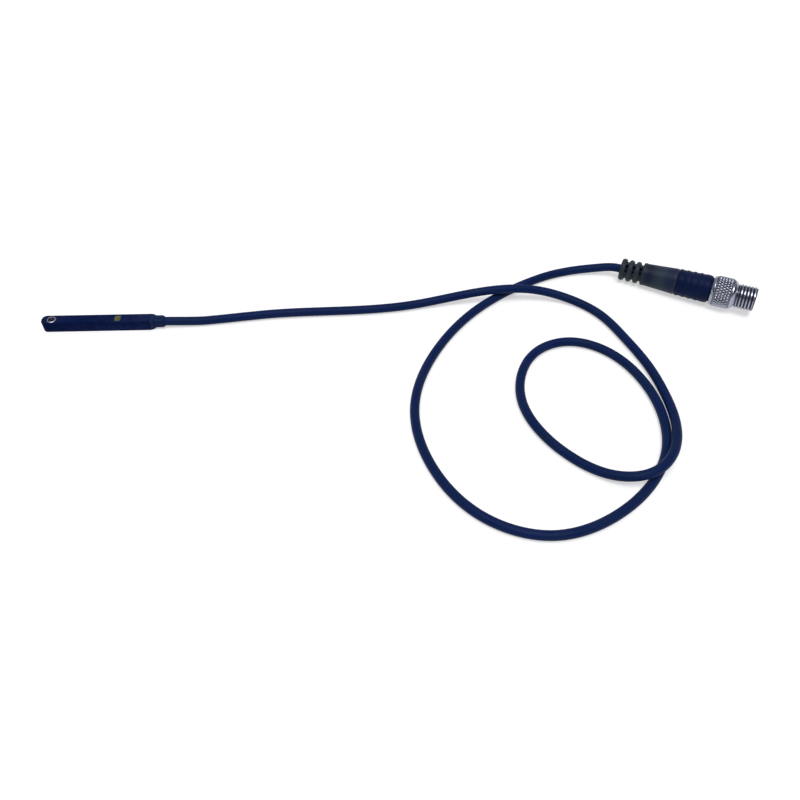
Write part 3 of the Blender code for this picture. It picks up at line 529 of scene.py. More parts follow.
NAVY = plastic(
    "housing_navy_plastic", (3, 20, 66), (2, 15, 54), (34, 48, 96), 0.5, grain=0.12, relief=0.01, gloss=0.02
)
SMOKE_GROMMET = plastic("grommet_smoke_plastic", (4, 34, 78), (3, 25, 64), (62, 80, 98), 0.42, gloss=0.09)
SMOKE_RELIEF = plastic(
    "relief_smoke_plastic", (36, 48, 58), (22, 36, 52), (88, 100, 94), 0.48, gloss=0.17, coat=0.02, sheen=0.05,
    # Partly painted highlight: these lower thresholds and the pale edge colour give the beads paler rims, on top of
    # edge wear.
    wear_and_light=(0.505, 0.56),
    # Painted highlight: the paler tones from 15.4 to 18.9 along the map stand for the sleeve's highlight; the tones
    # are darker towards both ends.
    tones_and_highlight_along=(
        (10.5, (32, 44, 52)), (11.8, (22, 36, 50)), (12.8, (7, 22, 46)),
        (14.2, (9, 25, 50)), (15.4, (32, 45, 61)), (17.5, (39, 52, 67)),
        (18.9, (34, 48, 68)), (20.0, (22, 35, 64)), (22.6, (7, 23, 61)),
    ),
)
GRIP_NAVY = plastic(
    "grip_navy_plastic", (5, 26, 68), (3, 17, 52), (28, 44, 84), 0.45, grain=0.14, relief=0.01, gloss=0.08
)
MOULD_DARK = plastic("mould_dark_plastic", (24, 30, 52), (16, 20, 40), (60, 66, 84), 0.5, relief=0.02)
CARRIER_BLACK = plastic("carrier_black_plastic", (26, 26, 29), (18, 18, 20), (70, 70, 74), 0.45)
POTTING_DARK = plastic(
    "potting_cast_resin", (26, 28, 36), (16, 18, 24), (50, 52, 60), 0.25, grain=0.9, relief=0.05, gloss=0.4
)
CHIP_BLACK = plastic("chip_black_epoxy", (34, 34, 36), (24, 24, 26), (80, 80, 82), 0.55, grain=0.08)
LED_PALE = plastic("led_pale_body", (226, 210, 150), (206, 188, 120), (240, 232, 200), 0.3, gloss=0.5)
CERAMIC = plastic("capacitor_ceramic", (176, 152, 116), (158, 132, 98), (206, 190, 160), 0.5, grain=0.06)
CORE_BROWN = plastic("core_brown_jacket", (106, 62, 38), (84, 46, 28), (150, 110, 84), 0.42)
CORE_BLACK = plastic("core_black_jacket", (30, 30, 32), (20, 20, 22), (74, 74, 78), 0.42)
CORE_BLUE = plastic("core_blue_jacket", (40, 92, 170), (30, 70, 140), (110, 150, 204), 0.42)
NICKEL = turned_metal("nut_nickel_plate", (168, 171, 186), (128, 131, 147), 0.2)
BUSH_NICKEL = turned_metal("bush_nickel_plate", (176, 176, 198), (140, 140, 162), 0.34, grooves=False)
# Painted shade: the screw's steel is darkened for the shade it sits in, down the bush's bore.
SCREW_STEEL_SHADED = turned_metal("screw_steel_painted_shade", (96, 98, 106), (66, 68, 76), 0.28)
CONTACT_GOLD = turned_metal("contact_gold_plate", (236, 196, 110), (206, 160, 78), 0.16, grooves=False)
CABLE_NAVY = cable_material()
WINDOW_AMBER = window_material()
BOARD_GREEN = board_material()


# Modelling helpers


def as_object(name, bm):
    mesh = bpy.data.meshes.new(name)
    bm.to_mesh(mesh)
    bm.free()
    return placed(name, mesh)


def finished(name, bm, finish, matrix=HEAD, sharp=30.0):
    """Turns a bmesh in metres into a piece, moved to its place, with smooth shading between sharp edges."""
    bm.transform(matrix)
    obj = as_object(name, bm)
    obj.data.shade_smooth()
    obj.data.set_sharp_from_angle(angle=math.radians(sharp))
    obj.data.materials.append(finish)
    return obj


def even(start, end, count):
    """count even steps from start to end, with both ends."""
    return [start + (end - start) * i / count for i in range(count + 1)]


def rounded(profile, steps=5):
    """A closed profile of (along, radius) or (along, radius, rounding), with each rounded corner as an arc."""
    points = []
    count = len(profile)
    for i, (along, radius, *rounding) in enumerate(profile):
        here = Vector((along, radius))
        if not rounding:
            points.append(here)
            continue
        before = Vector(profile[i - 1][:2]) - here
        after = Vector(profile[(i + 1) % count][:2]) - here
        half = before.angle(after) / 2
        reach = min(rounding[0] / math.tan(half), 0.49 * before.length, 0.49 * after.length)
        start, end = here + before.normalized() * reach, here + after.normalized() * reach
        size = reach * math.tan(half)
        centre = here + (before.normalized() + after.normalized()).normalized() * math.hypot(reach, size)
        first = start - centre
        swing = first.angle_signed(end - centre)
        for step in range(steps + 1):
            turned_by = Matrix.Rotation(-swing * step / steps, 2)
            points.append(centre + turned_by @ first)
    return [(point.x, point.y) for point in points]


def turned(profile, steps):
    """A full turn of a closed profile about local Z, in metres, with faces outwards."""
    bm = bmesh.new()
    verts = [bm.verts.new((radius * MM, 0, along * MM)) for along, radius in profile]
    edges = [bm.edges.new(pair) for pair in zip(verts, verts[1:])]
    if profile[0][1] or profile[-1][1]:
        edges.append(bm.edges.new((verts[-1], verts[0])))
    bmesh.ops.spin(bm, geom=verts + edges, axis=(0, 0, 1), angle=TURN, steps=steps, use_merge=True)
    bmesh.ops.remove_doubles(bm, verts=bm.verts, dist=1e-8)
    bmesh.ops.recalc_face_normals(bm, faces=bm.faces)
    return bm


def map_round(bm):
    """Gives a turned piece its map: U goes round once, and V is the place along it plus its radius there."""
    layer = bm.loops.layers.uv.new("UVMap")
    for face in bm.faces:
        turns = [math.atan2(loop.vert.co.y, loop.vert.co.x) / TURN % 1.0 for loop in face.loops]
        wraps = max(turns) - min(turns) > 0.5
        for loop, turn in zip(face.loops, turns):
            along = loop.vert.co.z / MM
            radius = math.hypot(loop.vert.co.x, loop.vert.co.y) / MM
            loop[layer].uv = (turn + 1 if wraps and turn < 0.5 else turn, along + radius)


def block(low, high):
    """A box between two corners in millimetres, as a bmesh in metres."""
    low, high = Vector(low) * MM, Vector(high) * MM
    bm = bmesh.new()
    bmesh.ops.create_cube(bm, size=1.0)
    bmesh.ops.scale(bm, vec=high - low, verts=bm.verts)
    bmesh.ops.translate(bm, vec=(low + high) / 2, verts=bm.verts)
    return bm


def round_edges(bm, chosen, width, segments):
    """Rounds the edges for which chosen(start, end) is true. width is in millimetres."""
    edges = [edge for edge in bm.edges if chosen(edge.verts[0].co / MM, edge.verts[1].co / MM)]
    bmesh.ops.bevel(bm, geom=edges, offset=width * MM, segments=segments, affect="EDGES", profile=0.5, material=-1)


def upright(a, b):
    return abs(a.z - b.z) > 0.01 and (a - b).xy.length < 0.01


def cylinder(radius, low, high, centre=(0, 0), steps=48, upper=None):
    """A closed bar along Z, or a cone if its upper end has a radius of its own."""
    bm = bmesh.new()
    place = Matrix.Translation(Vector((*centre, (low + high) / 2)) * MM)
    low_radius, high_radius = radius * MM, (upper or radius) * MM
    size = {"radius1": low_radius, "radius2": high_radius, "depth": (high - low) * MM}
    bmesh.ops.create_cone(bm, cap_ends=True, segments=steps, matrix=place, **size)
    return bm


def carved(bm, cutters, operation="DIFFERENCE"):
    """bm with each cutter taken away from it or joined to it, as a new bmesh."""
    body, *tools = [as_object("carving", part) for part in (bm, *cutters)]
    for tool in tools:
        boolean = body.modifiers.new("carve", "BOOLEAN")
        boolean.object = tool
        boolean.operation = operation
        boolean.solver = "EXACT"
    graph = bpy.context.evaluated_depsgraph_get()
    result = bmesh.new()
    result.from_mesh(body.evaluated_get(graph).to_mesh())
    for obj in (body, *tools):
        mesh = obj.data
        bpy.data.objects.remove(obj)
        bpy.data.meshes.remove(mesh)
    bmesh.ops.remove_doubles(result, verts=result.verts, dist=1e-8)
    return result


def smooth_points(points, spacing):
    """Evenly spaced points, about as far apart as spacing says, on the natural cubic curve through the given ones."""
    points = np.array(points, dtype=float)
    at = np.concatenate([[0.0], np.cumsum(np.linalg.norm(np.diff(points, axis=0), axis=1))])
    step = np.diff(at)
    rows = len(points)
    system = np.eye(rows)
    wanted = np.zeros((rows, 3))
    for i in range(1, rows - 1):
        system[i, i - 1 : i + 2] = (step[i - 1], 2 * (step[i - 1] + step[i]), step[i])
        wanted[i] = 6 * ((points[i + 1] - points[i]) / step[i] - (points[i] - points[i - 1]) / step[i - 1])
    bend = np.linalg.solve(system, wanted)
    fine = np.linspace(0, at[-1], 4000)
    piece = np.clip(np.searchsorted(at, fine, side="right") - 1, 0, rows - 2)
    length = step[piece][:, None]
    after = (fine - at[piece])[:, None]
    before = length - after
    curve = (
        bend[piece] * before**3 / (6 * length)
        + bend[piece + 1] * after**3 / (6 * length)
        + (points[piece] / length - bend[piece] * length / 6) * before
        + (points[piece + 1] / length - bend[piece + 1] * length / 6) * after
    )
    run = np.concatenate([[0.0], np.cumsum(np.linalg.norm(np.diff(curve, axis=0), axis=1))])
    stops = np.linspace(0, run[-1], round(run[-1] / spacing) + 1)
    return [Vector([np.interp(stop, run, curve[:, axis]) for axis in range(3)]) for stop in stops]


# Cable


def cable_points():
    """The axis of the cable in millimetres, from inside the grommet to inside the plug."""
    straight_end = NECK_END + JACKET_STOP
    entry = (OPEN_END + JACKET_STOP, straight_end - CABLE_GUIDE, straight_end)
    start = [(along, 0, CABLE_HEIGHT) for along in entry]
    inside = (-CABLE_GUIDE, CABLE_GUIDE, JACKET_INSIDE / 2, JACKET_INSIDE)
    end = [PLUG @ Vector((0, 0, along * MM)) / MM for along in inside]
    points = smooth_points([Vector(point) for point in (*start, *CABLE_ROUTE, *end)], CABLE_SPACING)
    for point in points:
        point.z = max(point.z, CABLE_RADIUS + FLOOR_GAP)
    return points


def make_cable():
    points = cable_points()
    curve = bpy.data.curves.new("cable_jacket", "CURVE")
    curve.dimensions = "3D"
    curve.bevel_depth = CABLE_RADIUS * MM
    curve.bevel_resolution = 10
    curve.use_fill_caps = True
    spline = curve.splines.new("POLY")
    spline.points.add(len(points) - 1)
    for slot, point in zip(spline.points, points):
        slot.co = (*(point * MM), 1.0)
    curve.materials.append(CABLE_NAVY)
    length = sum((b - a).length for a, b in zip(points, points[1:])) * MM
    return placed("cable_jacket", curve), length


# Head


def window_block(low, high, room=0.0):
    """The window's block between two heights, with room added to its sides and with round corners."""
    half_length, half_width = WINDOW_LENGTH / 2 + room, WINDOW_WIDTH / 2 + room
    bm = block((WINDOW_X - half_length, -half_width, low), (WINDOW_X + half_length, half_width, high))
    round_edges(bm, upright, WINDOW_ROUND, 6)
    return bm


def make_housing():
    """The moulded body with its round closed end, its bush hole, its window recess and its open underside."""
    bm = block((CLOSED_END, -HEAD_WIDTH / 2, 0), (OPEN_END, HEAD_WIDTH / 2, HEAD_HEIGHT))
    round_edges(bm, lambda a, b: upright(a, b) and a.x < CLOSED_END + 0.1, END_ROUND, 20)

    def rim_at(height):
        """Tells which edges lie at this height, apart from the open end's."""
        return lambda a, b: max(abs(a.z - height), abs(b.z - height)) < 0.01 and min(a.x, b.x) < OPEN_END - 0.01

    round_edges(bm, rim_at(HEAD_HEIGHT), EDGE_ROUND, 8)
    round_edges(bm, rim_at(0), BASE_ROUND, 3)
    half = HEAD_WIDTH / 2 - WALL
    cavity = block((CAVITY_START, -half, -1), (OPEN_END + 1, half, HEAD_HEIGHT - WALL))
    bush_hole = cylinder(BUSH_RADIUS + FIT, -1, HEAD_HEIGHT + 1, (BUSH_X, 0), ROUND_STEPS)
    bm = carved(bm, (cavity, bush_hole, window_block(2, 5, room=FIT)))
    return finished("housing_body", bm, NAVY)


def make_window():
    """The lens: a block with round corners and a low dome."""
    top = HEAD_HEIGHT - WINDOW_DOME
    bm = window_block(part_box("light_window")[0].z / MM, top)
    round_edges(bm, lambda a, b: min(a.z, b.z) > top - 0.01, WINDOW_DOME, 3)
    for share, rise in ((0.92, 0.02), (0.85, 0.015), (0.75, 0.01), (0.5, 0.005)):
        lid = max(bm.faces, key=lambda face: face.calc_center_median().z)
        bmesh.ops.inset_region(bm, faces=[lid], thickness=0.0, depth=0.0)
        centre = Matrix.Translation(-lid.calc_center_median())
        bmesh.ops.scale(bm, vec=(share, share, 1), space=centre, verts=lid.verts)
        bmesh.ops.translate(bm, vec=(0, 0, rise * MM), verts=lid.verts)
    return finished("light_window_lens", bm, WINDOW_AMBER, sharp=40)


def make_bush():
    """The bush: a plain ring with a broad chamfer round its top."""
    top, outer, bore = HEAD_HEIGHT, BUSH_RADIUS, BUSH_BORE
    profile = rounded(
        (
            (top, bore + 0.07, 0.03),
            (top, outer - 0.24, 0.05),
            (top - 0.14, outer, 0.03),
            (FIT + 0.08, outer, 0.05),
            (FIT, outer - 0.08, 0.05),
            (FIT, bore + 0.08, 0.04),
            (FIT + 0.1, bore, 0.04),
            (top - 0.07, bore, 0.03),
        ),
        3,
    )
    bm = turned(profile, ROUND_STEPS)
    map_round(bm)
    return finished("screw_bush_ring", bm, BUSH_NICKEL, Matrix.Translation((BUSH_X * MM, 0, 0)))


def helix(bm, low, high, pitch, crest, root, chamfer):
    """Presses a thread into a turned piece between two places along it, and notes how deep each point lies.

    The chamfer fades the thread at its upper end, and is noted as lying fully deep, which paints shade on it.
    """
    crest_flat, flank, softened = 0.3, 0.62, 0.35
    groove = bm.verts.layers.float.get("groove") or bm.verts.layers.float.new("groove")
    for vert in bm.verts:
        along, radius = vert.co.z / MM, math.hypot(vert.co.x, vert.co.y) / MM
        if not low - 0.001 <= along <= high + 0.001 or radius < crest - 0.001:
            continue
        phase = (along / pitch - math.atan2(vert.co.y, vert.co.x) / TURN) % 1.0
        slope = abs(2 * phase - 1)
        share = min(1.0, max(0.0, (slope - crest_flat) / flank))
        share = share * share * (3 - 2 * share) * softened + share * (1 - softened)
        fade = min(1.0, (along - low) / (0.5 * pitch))
        wanted = crest - (crest - root) * (share * fade + (1 - fade))
        bevelled = crest - chamfer + max(0.0, high - along)
        # Painted shade: the chamfer is noted as fully deep, so the material darkens it.
        vert[groove] = 1.0 if bevelled < crest - 0.02 else (crest - wanted) / (crest - root)
        wanted = min(wanted, bevelled)
        vert.co.x *= wanted / radius
        vert.co.y *= wanted / radius


def make_screw():
    """The clamp screw, a headless screw with a fine thread and a hexagon socket."""
    top, low, radius, thread_depth, point = SCREW_TOP, SCREW_END, SCREW_RADIUS, 0.12, 0.24
    thread_low, thread_high = low + point, top - thread_depth
    rows = [(along, radius) for along in even(thread_high, thread_low, 60)]
    profile = [(top, 0), (top, radius - 0.16), (top - 0.04, radius - 0.1), *rows, (low, radius - point), (low, 0)]
    bm = turned(profile, 64)
    helix(bm, thread_low, thread_high, SCREW_PITCH, radius, radius - thread_depth, chamfer=0.05)
    socket = cylinder(SOCKET_HALF / math.cos(math.pi / 6), top - SOCKET_DEPTH, top + 1, steps=6)
    lead = cylinder(SOCKET_HALF, top - 0.1, top + 0.12, upper=0.72)
    bm = carved(bm, (socket, lead))
    map_round(bm)
    return finished("clamp_screw_body", bm, SCREW_STEEL_SHADED, Matrix.Translation((BUSH_X * MM, 0, 0)))


def section(half_width, low, high, corner):
    """A rectangle with round corners across the head, as (y, z) in millimetres."""
    points = []
    for quarter, y, z in (
        (0, half_width - corner, high - corner),
        (1, -half_width + corner, high - corner),
        (2, -half_width + corner, low + corner),
        (3, half_width - corner, low + corner),
    ):
        for turn in even(quarter * QUARTER, (quarter + 1) * QUARTER, 8):
            points.append((y + corner * math.cos(turn), z + corner * math.sin(turn)))
    return points


def make_grommet():
    """The cable's soft entry: a collar against the housing, a waist and a neck that narrows onto the cable."""
    half, top, bore, cores = HEAD_WIDTH / 2, HEAD_HEIGHT, CABLE_RADIUS + 0.03, 1.1
    inside = (half - WALL - FIT, FIT, top - WALL - FIT, 0.3)
    face, stop = OPEN_END + FIT, OPEN_END + JACKET_STOP - FIT

    def neck(side, corner):
        return (side, CABLE_HEIGHT - side, CABLE_HEIGHT + side, corner)

    # each section's place, half width, underside, top and corner
    sections = (
        (TONGUE_START, *inside),
        (face, *inside),
        (face, half - 0.06, 0.06, top - 0.06, 0.3),
        (face + 0.06, half, 0.0, top, 0.32),
        (COLLAR_END - 0.35, half - 0.02, 0.2, top - 0.01, 0.45),
        (COLLAR_END - 0.1, half - 0.05, 0.28, top - 0.03, 0.55),
        (COLLAR_END + 0.05, half - 0.12, 0.34, top - 0.08, 0.65),
        (NECK_START - 0.15, *neck(1.68, 0.9)),
        (NECK_START, *neck(1.65, 0.93)),
        (NECK_END - 0.75, *neck(1.65, 0.95)),
        (NECK_END - 0.5, *neck(1.64, 1.05)),
        (NECK_END - 0.2, *neck(1.58, 1.3)),
        (NECK_END - 0.04, *neck(1.53, 1.45)),
        (NECK_END, *neck(1.48, 1.42)),
        (NECK_END - 0.03, *neck(bore, 0.97 * bore)),
        (stop, *neck(bore, 0.97 * bore)),
        (stop, *neck(cores, cores - 0.05)),
        (TONGUE_START, *neck(cores, cores - 0.05)),
    )
    bm = bmesh.new()
    rings = []
    for x, *shape in sections:
        verts = [bm.verts.new((x * MM, y * MM, z * MM)) for y, z in section(*shape)]
        rings.append([bm.edges.new(pair) for pair in zip(verts, verts[1:] + verts[:1])])
    for ring, after in zip(rings, rings[1:] + rings[:1]):
        bmesh.ops.bridge_loops(bm, edges=ring + after)
    bmesh.ops.recalc_face_normals(bm, faces=bm.faces)
    return finished("cable_grommet_body", bm, SMOKE_GROMMET, sharp=40)


# Plug


def ring_profile():
    """The relief's outer side from the rear: beads with waists between, a low ridge, then the smooth sleeve."""
    ring, half, rear_face, ridge = RING_DIAMETER / 2, RING_WIDTH / 2, 0.45, 0.13
    outer = []
    for i in range(RING_COUNT):
        middle = half + i * RING_PITCH
        for turn in even(0, math.pi, 18):
            base = RELIEF_CORE if i or turn > QUARTER else ring - rear_face
            outer.append((middle - half * math.cos(turn), base + (ring - base) * math.sin(turn) ** 0.7))
    rings_end = RING_COUNT * RING_PITCH
    ridge_start, ridge_end, wide = rings_end + 0.2, rings_end + 1.5, SEAM_RADIUS - 0.06
    outer.append((rings_end, RELIEF_CORE))
    for share in even(0, 1, 12)[1:]:
        outer.append((ridge_start + share * (ridge_end - ridge_start), ring + ridge * math.sin(share * math.pi) ** 2))
    for share in even(0, 1, 12)[1:]:
        outer.append((ridge_end + share * (SEAM - 0.6 - ridge_end), ring + share * (wide - ring)))
    outer += [(SEAM - 0.3, SEAM_RADIUS - 0.07), (SEAM - 0.15, SEAM_RADIUS - 0.12), (SEAM - FIT, SEAM_RADIUS - 0.2)]
    return outer


def make_relief():
    """The bending sleeve: beads joined by two ribs, open between them, then a smooth sleeve to the seam."""
    bore, mould = CABLE_RADIUS + FIT, JACKET_INSIDE + 0.3
    profile = list(reversed(ring_profile()))
    profile += [(0, bore + 0.1), (0.1, bore), (mould, bore), (mould + 0.1, MOULD_SPACE), (SEAM - FIT, MOULD_SPACE)]
    bm = turned(profile, ROUND_STEPS)
    cutters = []
    for i in range(RING_COUNT):
        start, end = RING_WIDTH + i * RING_PITCH - 0.1, (i + 1) * RING_PITCH + 0.1
        opening = block((-OPENING_HALF, -6, start), (OPENING_HALF, 6, end))
        round_edges(opening, lambda a, b: abs(a.y - b.y) > 0.1, 0.25, 5)
        opening.transform(Matrix.Rotation(-math.radians(RIB_TURN), 4, "Z"))
        cutters.append(opening)
    bm = carved(bm, cutters)
    map_round(bm)
    return finished("strain_relief_sleeve", bm, SMOKE_RELIEF, PLUG, sharp=35)


def make_grip():
    """The ridged front of the plug, with a rounded shoulder and a nose that reaches into the nut."""
    start = SEAM + FIT
    ridges_end = start + RIDGE_COUNT * RIDGE_PITCH
    first_crest, ridge_width, valley, ridge_height = 0.35, 0.2, 0.09, 0.2
    outer = [(start, SEAM_RADIUS - 0.2), (start + 0.08, SEAM_RADIUS - 0.1), (start + 0.2, SEAM_RADIUS - 0.02)]
    for along in even(start + 0.3, ridges_end, RIDGE_COUNT * 16):
        share = (along - start) / (ridges_end - start)
        body = SEAM_RADIUS + (GRIP_RADIUS - SEAM_RADIUS) * share
        phase = (share * RIDGE_COUNT - first_crest) % 1.0
        ridge = math.exp(-((min(phase, 1 - phase) / ridge_width) ** 2))
        outer.append((along, body - valley + ridge_height * ridge))
    shoulder, nose = GRIP_END - GRIP_SHOULDER, GRIP_NOSE
    outer += [(along, GRIP_RADIUS) for along in even(ridges_end + 0.3, shoulder, 5)]
    for turn in even(0, QUARTER, 12)[1:]:
        outer.append((shoulder + GRIP_SHOULDER * math.sin(turn), nose + (GRIP_RADIUS - nose) * math.cos(turn)))
    nose_end, tail_start, tail = FLANGE_START - FIT, CARRIER_START - FIT, CARRIER_TAIL + FIT
    outer += [(nose_end - 0.15, nose), (nose_end, nose - 0.15)]
    profile = list(reversed(outer))
    profile += [(start, MOULD_SPACE), (tail_start - 0.05, MOULD_SPACE), (tail_start, tail), (nose_end, tail)]
    return finished("grip_sleeve", turned(profile, ROUND_STEPS), GRIP_NAVY, PLUG, sharp=35)


def press_knurl(bm, rows, half_step):
    """Presses crossed grooves into the nut's band, and splits each face along its groove.

    A higher power in pillow gives flatter diamonds with narrower grooves. bevel is in half rows.
    """
    pillow, bevel = 0.78, 0.5
    groove = bm.verts.layers.float.get("groove") or bm.verts.layers.float.new("groove")
    low, high = rows[-1], rows[0]
    half_row = (high - low) / KNURL_HALF_ROWS
    depth = {}
    for vert in bm.verts:
        along, radius = vert.co.z / MM, math.hypot(vert.co.x, vert.co.y) / MM
        if abs(radius - KNURL_RADIUS) > 0.001 or not low - 0.001 <= along <= high + 0.001:
            continue
        down = (along - low) / half_row
        around = math.atan2(vert.co.y, vert.co.x) / half_step
        first = abs((down + around) % 2 - 1)
        second = abs((down - around) % 2 - 1)
        lowered = min(1.0, (first**4 + second**4) ** pillow) * KNURL_DEPTH
        edge = min(down, KNURL_HALF_ROWS - down)
        if edge < bevel:
            lowered = max(lowered, KNURL_DEPTH * max(0.0, 1 - edge / bevel) ** 0.5)
        depth[vert] = lowered
        vert[groove] = lowered / KNURL_DEPTH
    for vert, lowered in depth.items():
        radius = math.hypot(vert.co.x, vert.co.y)
        vert.co.x *= 1 - lowered * MM / radius
        vert.co.y *= 1 - lowered * MM / radius
    for face in [face for face in bm.faces if len(face.verts) == 4 and all(vert in depth for vert in face.verts)]:
        a, b, c, d = face.verts
        across = depth[a] + depth[c] - depth[b] - depth[d]
        if abs(across) > 1e-6:
            bmesh.utils.face_split(face, a if across > 0 else b, c if across > 0 else d)


def make_nut():
    """The coupling nut in one piece: a diamond-knurled ring and a helical outside thread."""
    columns = 2 * KNURL_AROUND * KNURL_STEPS
    head_end = NUT_START + NUT_HEAD
    plain = KNURL_RADIUS - KNURL_DEPTH
    band_low, band_high = NUT_START + 0.85, head_end - 1.3
    rows = even(band_high, band_low, KNURL_HALF_ROWS * KNURL_STEPS)
    thread_low, thread_high = head_end + 0.15, NUT_TIP
    thread = even(thread_high, thread_low, round((thread_high - thread_low) * THREAD_STEPS))
    # from the tip: the thread, the head's front cone, the knurl, the rear rim, then the pocket for the flange
    profile = [(NUT_TIP, NUT_BORE + 0.1)]
    profile += [(along, THREAD_CREST) for along in thread]
    profile += [(head_end + 0.05, THREAD_ROOT), (head_end, THREAD_ROOT + 0.06), (head_end, plain - 0.84)]
    profile += [(head_end - 0.04, plain - 0.78), (head_end - 0.96, plain - 0.03), (head_end - 1.04, plain)]
    profile += [(band_high + 0.06, plain)]
    profile += [(along, KNURL_RADIUS) for along in rows]
    profile += [(band_low - 0.06, plain), (NUT_START + 0.6, plain), (NUT_START + 0.5, plain - 0.03)]
    profile += [(NUT_START + 0.06, plain - 0.24), (NUT_START, plain - 0.3)]
    pocket, step = FLANGE_RADIUS + 0.1, FLANGE_END + 0.15
    profile += [(NUT_START, pocket + 0.08), (NUT_START + 0.08, pocket), (step, pocket), (step, NUT_BORE)]
    profile += [(NUT_TIP - 0.1, NUT_BORE)]
    bm = turned(profile, columns)
    helix(bm, thread_low, thread_high, THREAD_PITCH, THREAD_CREST, THREAD_ROOT, chamfer=0.45)
    press_knurl(bm, rows, math.pi / KNURL_AROUND)
    map_round(bm)
    return finished("coupling_nut_ring", bm, NICKEL, PLUG, sharp=42)


def make_carrier():
    """The insulating insert: a tail, the flange that holds the nut, a floor for the pins and a keyed collar."""
    inner = COLLAR_RADIUS - COLLAR_WALL
    profile = rounded(
        (
            (SOCKET_FLOOR, 0),
            (SOCKET_FLOOR, inner - 0.001, 0.1),
            (COLLAR_STOP, inner, 0.06),
            (COLLAR_STOP, COLLAR_RADIUS, 0.12),
            (FLANGE_END, COLLAR_RADIUS),
            (FLANGE_END, FLANGE_RADIUS, 0.08),
            (FLANGE_START, FLANGE_RADIUS, 0.08),
            (FLANGE_START, CARRIER_TAIL),
            (CARRIER_START, CARRIER_TAIL, 0.1),
            (CARRIER_START, 0),
        )
    )
    bm = turned(profile, ROUND_STEPS)
    key = block((inner - 0.5, -0.35, SOCKET_FLOOR - 0.45), (inner + 0.22, 0.35, COLLAR_STOP - 0.7))
    round_edges(key, upright, 0.08, 3)
    bm = carved(bm, (key,), "UNION")
    hole = (PIN_RADIUS + FIT, CARRIER_START - 1, SOCKET_FLOOR + 1)
    bm = carved(bm, [cylinder(*hole, pin_place(angle), 32) for angle in PIN_ANGLES])
    return finished("contact_carrier_insert", bm, CARRIER_BLACK, PLUG, sharp=35)


def pin_place(angle):
    """A contact's place across the plug, for an angle counted from the right as one looks at its face."""
    turn = math.radians(angle)
    return -PIN_CIRCLE * math.sin(turn), PIN_CIRCLE * math.cos(turn)


def make_pin(number, angle):
    """A gold-plated contact: a cup for its core, a straight shank and a round tip."""
    tip, tail, cup, round_tip = NUT_TIP - 1.1, CARRIER_START - 1.4, 0.625, 0.6
    profile = [(tip, 0)]
    for turn in even(0, QUARTER, 8)[1:]:
        profile.append((tip - round_tip * (1 - math.cos(turn)), PIN_RADIUS * math.sin(turn)))
    profile += [(SOCKET_FLOOR + 1, PIN_RADIUS), (CARRIER_START, PIN_RADIUS), (CARRIER_START - FIT, cup - 0.06)]
    profile += [(CARRIER_START - 0.12, cup), (tail + 0.06, cup), (tail, cup - 0.06), (tail, 0)]
    bm = turned(profile, 32)
    map_round(bm)
    place = PLUG @ Matrix.Translation(Vector((*pin_place(angle), 0)) * MM)
    return finished(f"contact_{number}", bm, CONTACT_GOLD, place)


# The sensor's pieces


def hand_over(piece, node_name, body):
    """Says which body carries the piece and which CAD node it replaces. Returns its name."""
    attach(piece, body)
    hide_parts(node_name)
    return piece.name


cable, cable_length = make_cable()
hand_over(cable, "cable", "root")
hand_over(make_housing(), "housing", "root")
hand_over(make_window(), "light_window", "root")
hand_over(make_bush(), "screw_bush", "root")
hand_over(make_screw(), "clamp_screw", "screw")
hand_over(make_grommet(), "cable_grommet", "root")

on_the_cable = [
    "inner_mould",
    "plug_core_brown",
    "plug_core_black",
    "plug_core_blue",
    hand_over(make_relief(), "strain_relief", "root"),
    hand_over(make_grip(), "grip_body", "root"),
    hand_over(make_nut(), "coupling_nut", "nut"),
    hand_over(make_carrier(), "contact_carrier", "root"),
]
for number, angle in enumerate(PIN_ANGLES, 1):
    contact = make_pin(number, angle)
    on_the_cable.append(hand_over(contact, f"contact_pin_{number}", "root"))

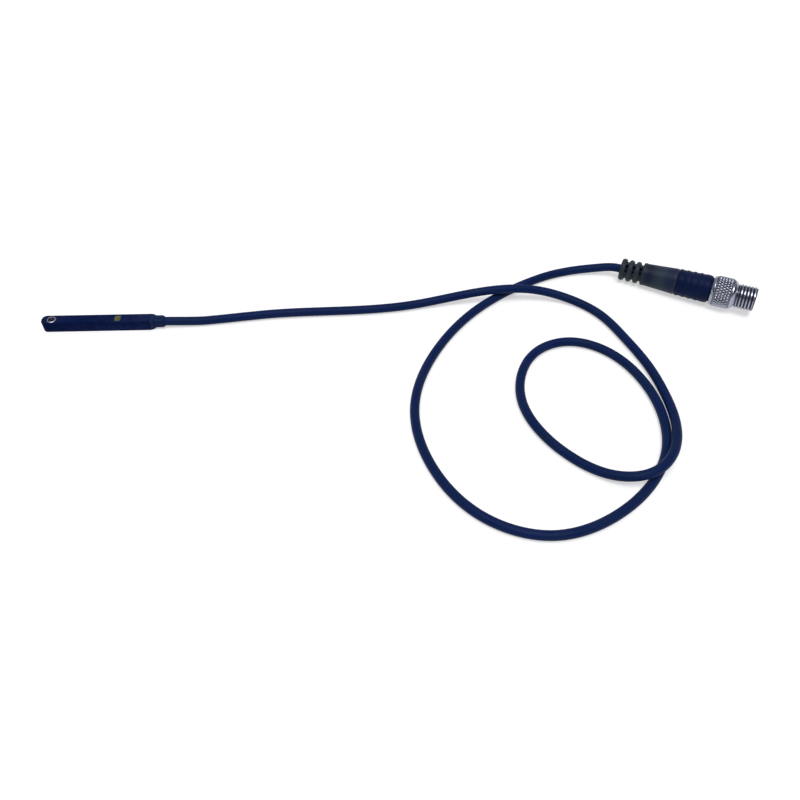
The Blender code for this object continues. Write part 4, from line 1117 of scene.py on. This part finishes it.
for finish, node_names in (
    (POTTING_DARK, ("potting",)),
    (BOARD_GREEN, ("circuit_board",)),
    (CHIP_BLACK, ("sensing_chip", "protection_diode", "output_chip", "chip_resistor")),
    (LED_PALE, ("status_led",)),
    (CERAMIC, ("chip_capacitor",)),
    (MOULD_DARK, ("inner_mould",)),
    (CORE_BROWN, ("head_core_brown", "plug_core_brown")),
    (CORE_BLACK, ("head_core_black", "plug_core_black")),
    (CORE_BLUE, ("head_core_blue", "plug_core_blue")),
):
    for node_name in node_names:
        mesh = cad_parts[node_name].data
        mesh.materials.clear()
        mesh.materials.append(finish)


# Floor and light


def make_floor():
    bm = bmesh.new()
    bmesh.ops.create_grid(bm, x_segments=8, y_segments=8, size=FLOOR_SIZE)
    finished("floor", bm, floor_material())


def soft_key(elevation, spread_angle, strength):
    """A broad, even light that comes from the front at an elevation. Angles are in degrees."""
    data = bpy.data.lights.new("overhead", "SUN")
    data.angle = math.radians(spread_angle)
    data.energy = strength
    placed("overhead", data).rotation_euler = (math.radians(90 - elevation), 0, 0)


def studio_world():
    """Surroundings of a plain studio: a pale wall at the horizon, a dim room above it and a bright ceiling.

    The room is darkest on DARK_SIDE, to the right of the plug's nose.
    """
    world = bpy.data.worlds.new("studio")
    bpy.context.scene.world = world
    world.use_nodes = True
    tree = world.node_tree
    way = node(tree, "TexCoord").outputs["Generated"]
    height = axis_of(tree, way, "Z")
    ramp = node(tree, "ValToRGB", {"Fac": height})
    stops = ramp.color_ramp.elements
    stops[0].position, stops[0].color = 0.0, (1, 1, 1, 1)
    stops[1].position, stops[1].color = 1.0, (0.62, 0.62, 0.66, 1)
    for position, level in ((WALL_TOP, 0.95), (ROOM_FROM, 0.16), (CEILING_FROM, 0.14)):
        stops.new(position).color = (level, level, 1.06 * level, 1)
    behind = spread(tree, axis_of(tree, way, "Y"), 0.0, 0.6, 0.0, 0.6)
    above = spread(tree, height, WALL_TOP, ROOM_FROM)
    tone = colour_mix(tree, times(tree, behind, above), ramp.outputs["Color"], (0.6, 0.6, 0.66, 1))
    aside = node(tree, "VectorMath", {0: way, 1: DARK_SIDE}, operation="DOT_PRODUCT").outputs["Value"]
    dark = times(tree, spread(tree, aside, 0.72, 0.95, 0.0, 0.92), above)
    tone = colour_mix(tree, dark, tone, (0.03, 0.03, 0.035, 1))
    tree.links.new(tone, tree.nodes["Background"].inputs["Color"])


make_floor()
soft_key(elevation=76, spread_angle=30, strength=1.65)
studio_world()
bpy.context.scene.view_settings.view_transform = "Standard"
